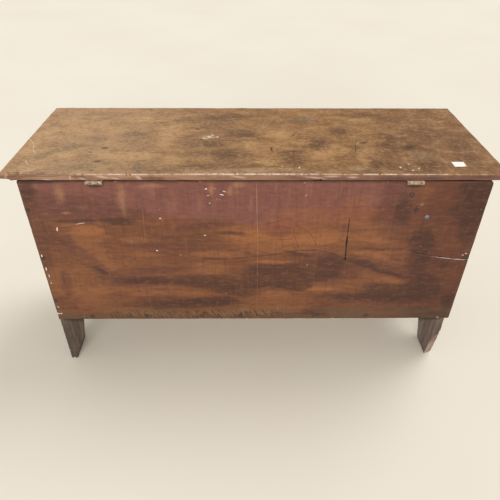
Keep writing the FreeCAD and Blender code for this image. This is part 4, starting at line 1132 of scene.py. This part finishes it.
def make_nail():
    nail = shape("cone", vertices=8, radius1=4.4 * MM, radius2=1.9 * MM, depth=2.4 * MM,
                 location=(0, 0, -1.2 * MM))
    bpy.ops.object.transform_apply(location=True, rotation=True, scale=True)
    with editing(nail, "FACE"):
        pick("faces", lambda face: face.normal.z < -0.9)
        bpy.ops.mesh.inset(thickness=2.6 * MM)
        bpy.ops.mesh.extrude_region_move(TRANSFORM_OT_translate={"value": (0, 0, -44 * MM)})
        bpy.ops.transform.resize(value=(0.5, 0.5, 1.0), center_override=(0, 0, -46.4 * MM))
        pick("faces", lambda face: face.normal.z > 0.2)
        bpy.ops.mesh.bevel(offset=0.35 * MM, segments=2, affect="EDGES")
        pick("verts", lambda vertex: vertex.co.z > -2.3 * MM)
        bpy.ops.transform.vertex_random(offset=0.28 * MM, seed=4, normal=0.0)
    return nail


def make_clout():
    nail = shape("uv_sphere", segments=20, ring_count=10, radius=6.0 * MM, location=(0, 0, 0))
    with editing(nail):
        bpy.ops.transform.resize(value=(1.0, 1.0, 0.42), center_override=(0, 0, 0))
        bpy.ops.mesh.select_all(action="SELECT")
        bpy.ops.mesh.bisect(plane_co=(0, 0, -0.01 * MM), plane_no=(0, 0, 1), clear_inner=True, use_fill=True)
        pick("faces", lambda face: face.normal.z < -0.9)
        bpy.ops.mesh.inset(thickness=4.2 * MM)
        bpy.ops.mesh.extrude_region_move(TRANSFORM_OT_translate={"value": (0, 0, -40 * MM)})
        bpy.ops.mesh.select_all(action="SELECT")
        bpy.ops.transform.translate(value=(0, 0, -2.5 * MM))
    return nail


def drive(node, name, metal, master, out, size=(1, 1, 1), body="carcase"):
    """Copies of one nail for each solid of a node. out is the axis that the heads look along.

    On axes 0 and 1 they look away from the chest's middle, and on axis 2 they look down.
    """
    chance = random.Random(name)
    copies = []
    for low, high in solids(node):
        middle = (low + high) / 2
        look = Vector((0, 0, 0))
        look[out] = math.copysign(1, middle[out]) if out < 2 else -1
        head = middle + look * abs((high - low).dot(look)) / 2
        turn = look.to_track_quat("Z", "Y").to_matrix().to_4x4()
        tilt = Matrix.Rotation(math.radians(chance.uniform(-NAIL_LEAN, NAIL_LEAN)), 4, "X")
        spin = Matrix.Rotation(chance.uniform(0, math.tau), 4, "Z")
        copy = bpy.data.objects.new(name, master.data.copy())
        bpy.context.scene.collection.objects.link(copy)
        copy.data.transform(Matrix.Translation(head) @ turn @ tilt @ spin @ Matrix.Diagonal((*size, 1)))
        copies.append(copy)
    piece = joined(copies)
    piece.name = name
    piece.data.materials.append(metal)
    put(piece, body, node)


rose_nail = make_nail()
clout = make_clout()
for node, out in (("back_bottom_nails", 1), ("back_end_nails", 1), ("front_bottom_nails", 1),
                  ("front_end_nails", 1), ("end_bottom_nails", 0), ("till_nails", 1)):
    drive(node, node.replace("nails", "rose_nails"), wrought_iron, rose_nail, out)
drive("till_clout_nail", "till_clout", clout_steel, clout, 1)
PIN = (0.45, 0.45, 0.3)
for node, out, body in (("lock_plate_pins", 1, "carcase"), ("escutcheon_pins", 1, "carcase"),
                        ("lid_staple_pins", 2, "lid")):
    name = node.replace("pins", "rivets")
    drive(node, name, wrought_iron, rose_nail, out, PIN, body)
bpy.data.objects.remove(rose_nail)
bpy.data.objects.remove(clout)


# %% [markdown]
# ## Hinges and lock
# These parts fit and move, so they keep the frame's shapes, and are only softened: a narrow bevel
# on each sharp edge, which catches the light, and a slight unevenness.


# %% Softened metal parts
def soften(node, name, body, metal, radius=0.4, dents=0.2):
    """A metal part with its edges eased and its faces slightly uneven. In mm."""
    piece = taken_from(node, name, metal)
    with editing(piece, "EDGE"):
        pick("edges", sharp)
        bpy.ops.mesh.bevel(offset=radius * MM, segments=2, profile=0.5, clamp_overlap=True)
    pattern = bpy.data.textures.new(f"{name}_dents", "CLOUDS")
    pattern.noise_scale = 0.012
    modify(piece, "DISPLACE", texture=pattern, strength=-dents * MM, mid_level=0.0)
    put(piece, body, node)


for side in ("left", "right"):
    soften(f"{side}_hinge_carcase_leaf", f"{side}_carcase_leaf", "carcase", hinge_brass)
    soften(f"{side}_hinge_lid_leaf", f"{side}_lid_leaf", "lid", hinge_brass)
    soften(f"{side}_hinge_pin", f"{side}_pin", "carcase", hinge_brass, 0.3, 0.05)
for node in ("lock_plate", "lock_bolt_guides", "lock_spring", "lock_key_post", "escutcheon"):
    soften(node, f"forged_{node}", "carcase", wrought_iron, 0.3, 0.15)
soften("lock_bolt", "forged_lock_bolt", "lock_bolt", wrought_iron, 0.3, 0.1)
soften("lid_staple", "forged_lid_staple", "lid", wrought_iron, 0.4, 0.15)
for node in ("hinge_carcase_screws", "hinge_lid_screws"):
    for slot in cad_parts[node].material_slots:
        slot.material = screw_steel

# %% [markdown]
# ## The paper label
# A small blank sticker. It is a flat grid with one corner lifted by proportional editing, which
# moves the points nearby as well, and Solidify gives it the thickness of paper.

# %% Paper label
paper = Finish("paper")
paper.colour = paper.ramp(paper.noise(paper.place, 160.0, 4.0), [(0.35, "eceae6"), (0.6, "fdfcfa")])
rub(paper, "b9b09c", 0.5, 200.0)
paper.lift(paper.noise(paper.place, 700.0, 3.0), 0.06)

low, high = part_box("paper_label")
label = shape("grid", x_subdivisions=14, y_subdivisions=12, size=1.0, location=(0, 0, 0))
label.name = "label_sheet"
with editing(label):
    bpy.ops.transform.resize(value=(high.x - low.x, high.y - low.y, 1.0), center_override=(0, 0, 0))
    bpy.ops.transform.translate(value=((low.x + high.x) / 2, (low.y + high.y) / 2, low.z + 0.1 * MM))
with editing(label):
    pick("verts", lambda vertex: vertex.co.x < low.x + 1.2 * MM and vertex.co.y > high.y - 1.2 * MM)
    bpy.ops.transform.translate(value=(0.6 * MM, -0.4 * MM, 1.0 * MM), use_proportional_edit=True,
                                proportional_edit_falloff="SMOOTH", proportional_size=9 * MM)
modify(label, "SOLIDIFY", thickness=0.15 * MM, offset=1.0)
label.data.materials.append(paper.close(0.7))
put(label, "lid", "paper_label")

# %% [markdown]
# ## Floor and light
# A plain pale floor and two wide soft suns: one high on the far side, which lets the shadow fall
# towards the viewer, and one on the viewer's side for the back of the chest. A sun lights the
# whole floor alike, so the floor has no bright spot and runs out evenly into the background.

# %% Floor
floor = shape("grid", x_subdivisions=8, y_subdivisions=8, size=60, location=(0, 0, 0))
floor.name = "floor"
screed = Finish("floor")
screed.colour = screed.ramp(screed.noise(screed.place, 0.9, 3.0), [(0.3, "eae3d5"), (0.7, "eee8db")])
floor.data.materials.append(screed.close(1.0, 0.0))


# %% Light
def sun(name, place, width, strength):
    """A soft sun as wide as some degrees of the sky, that shines from a place towards the chest."""
    light = bpy.data.objects.new(name, bpy.data.lights.new(name, "SUN"))
    bpy.context.scene.collection.objects.link(light)
    light.data.angle = math.radians(width)
    light.data.energy = strength
    light.location = place
    light.rotation_euler = (Vector((0, 0, 0.35)) - Vector(place)).to_track_quat("-Z", "Y").to_euler()


sun("key", (-1.6, -1.0, 3.0), 34, 1.05)
sun("fill", (0.4, 3.4, 1.9), 44, 1.98)

# %% [markdown]
# The world lights the scene as a grey sky, but the camera, mirrors and glass see it in the colour
# of the lit floor, so that no horizon shows.

# %% Sky
world = bpy.data.worlds.new("world")
bpy.context.scene.world = world
world.use_nodes = True
sky = world.node_tree
rays = add_node(sky, "ShaderNodeLightPath").outputs
seen = rays["Is Camera Ray"]
for kind in ("Is Glossy Ray", "Is Transmission Ray"):
    seen = add_node(sky, "ShaderNodeMath", {0: seen, 1: rays[kind]}, operation="MAXIMUM").outputs[0]
for socket, unseen, visible in (("Strength", (0.6,) * 3, (1.0,) * 3),
                                ("Color", tone("f4f0e8")[:3], tone("f4ecdb")[:3])):
    blend = add_node(sky, "ShaderNodeMix", {0: seen, 4: unseen, 5: visible}, data_type="VECTOR")
    feed(sky, sky.nodes["Background"], socket, blend.outputs[1])
bpy.context.scene.view_settings.view_transform = "Standard"
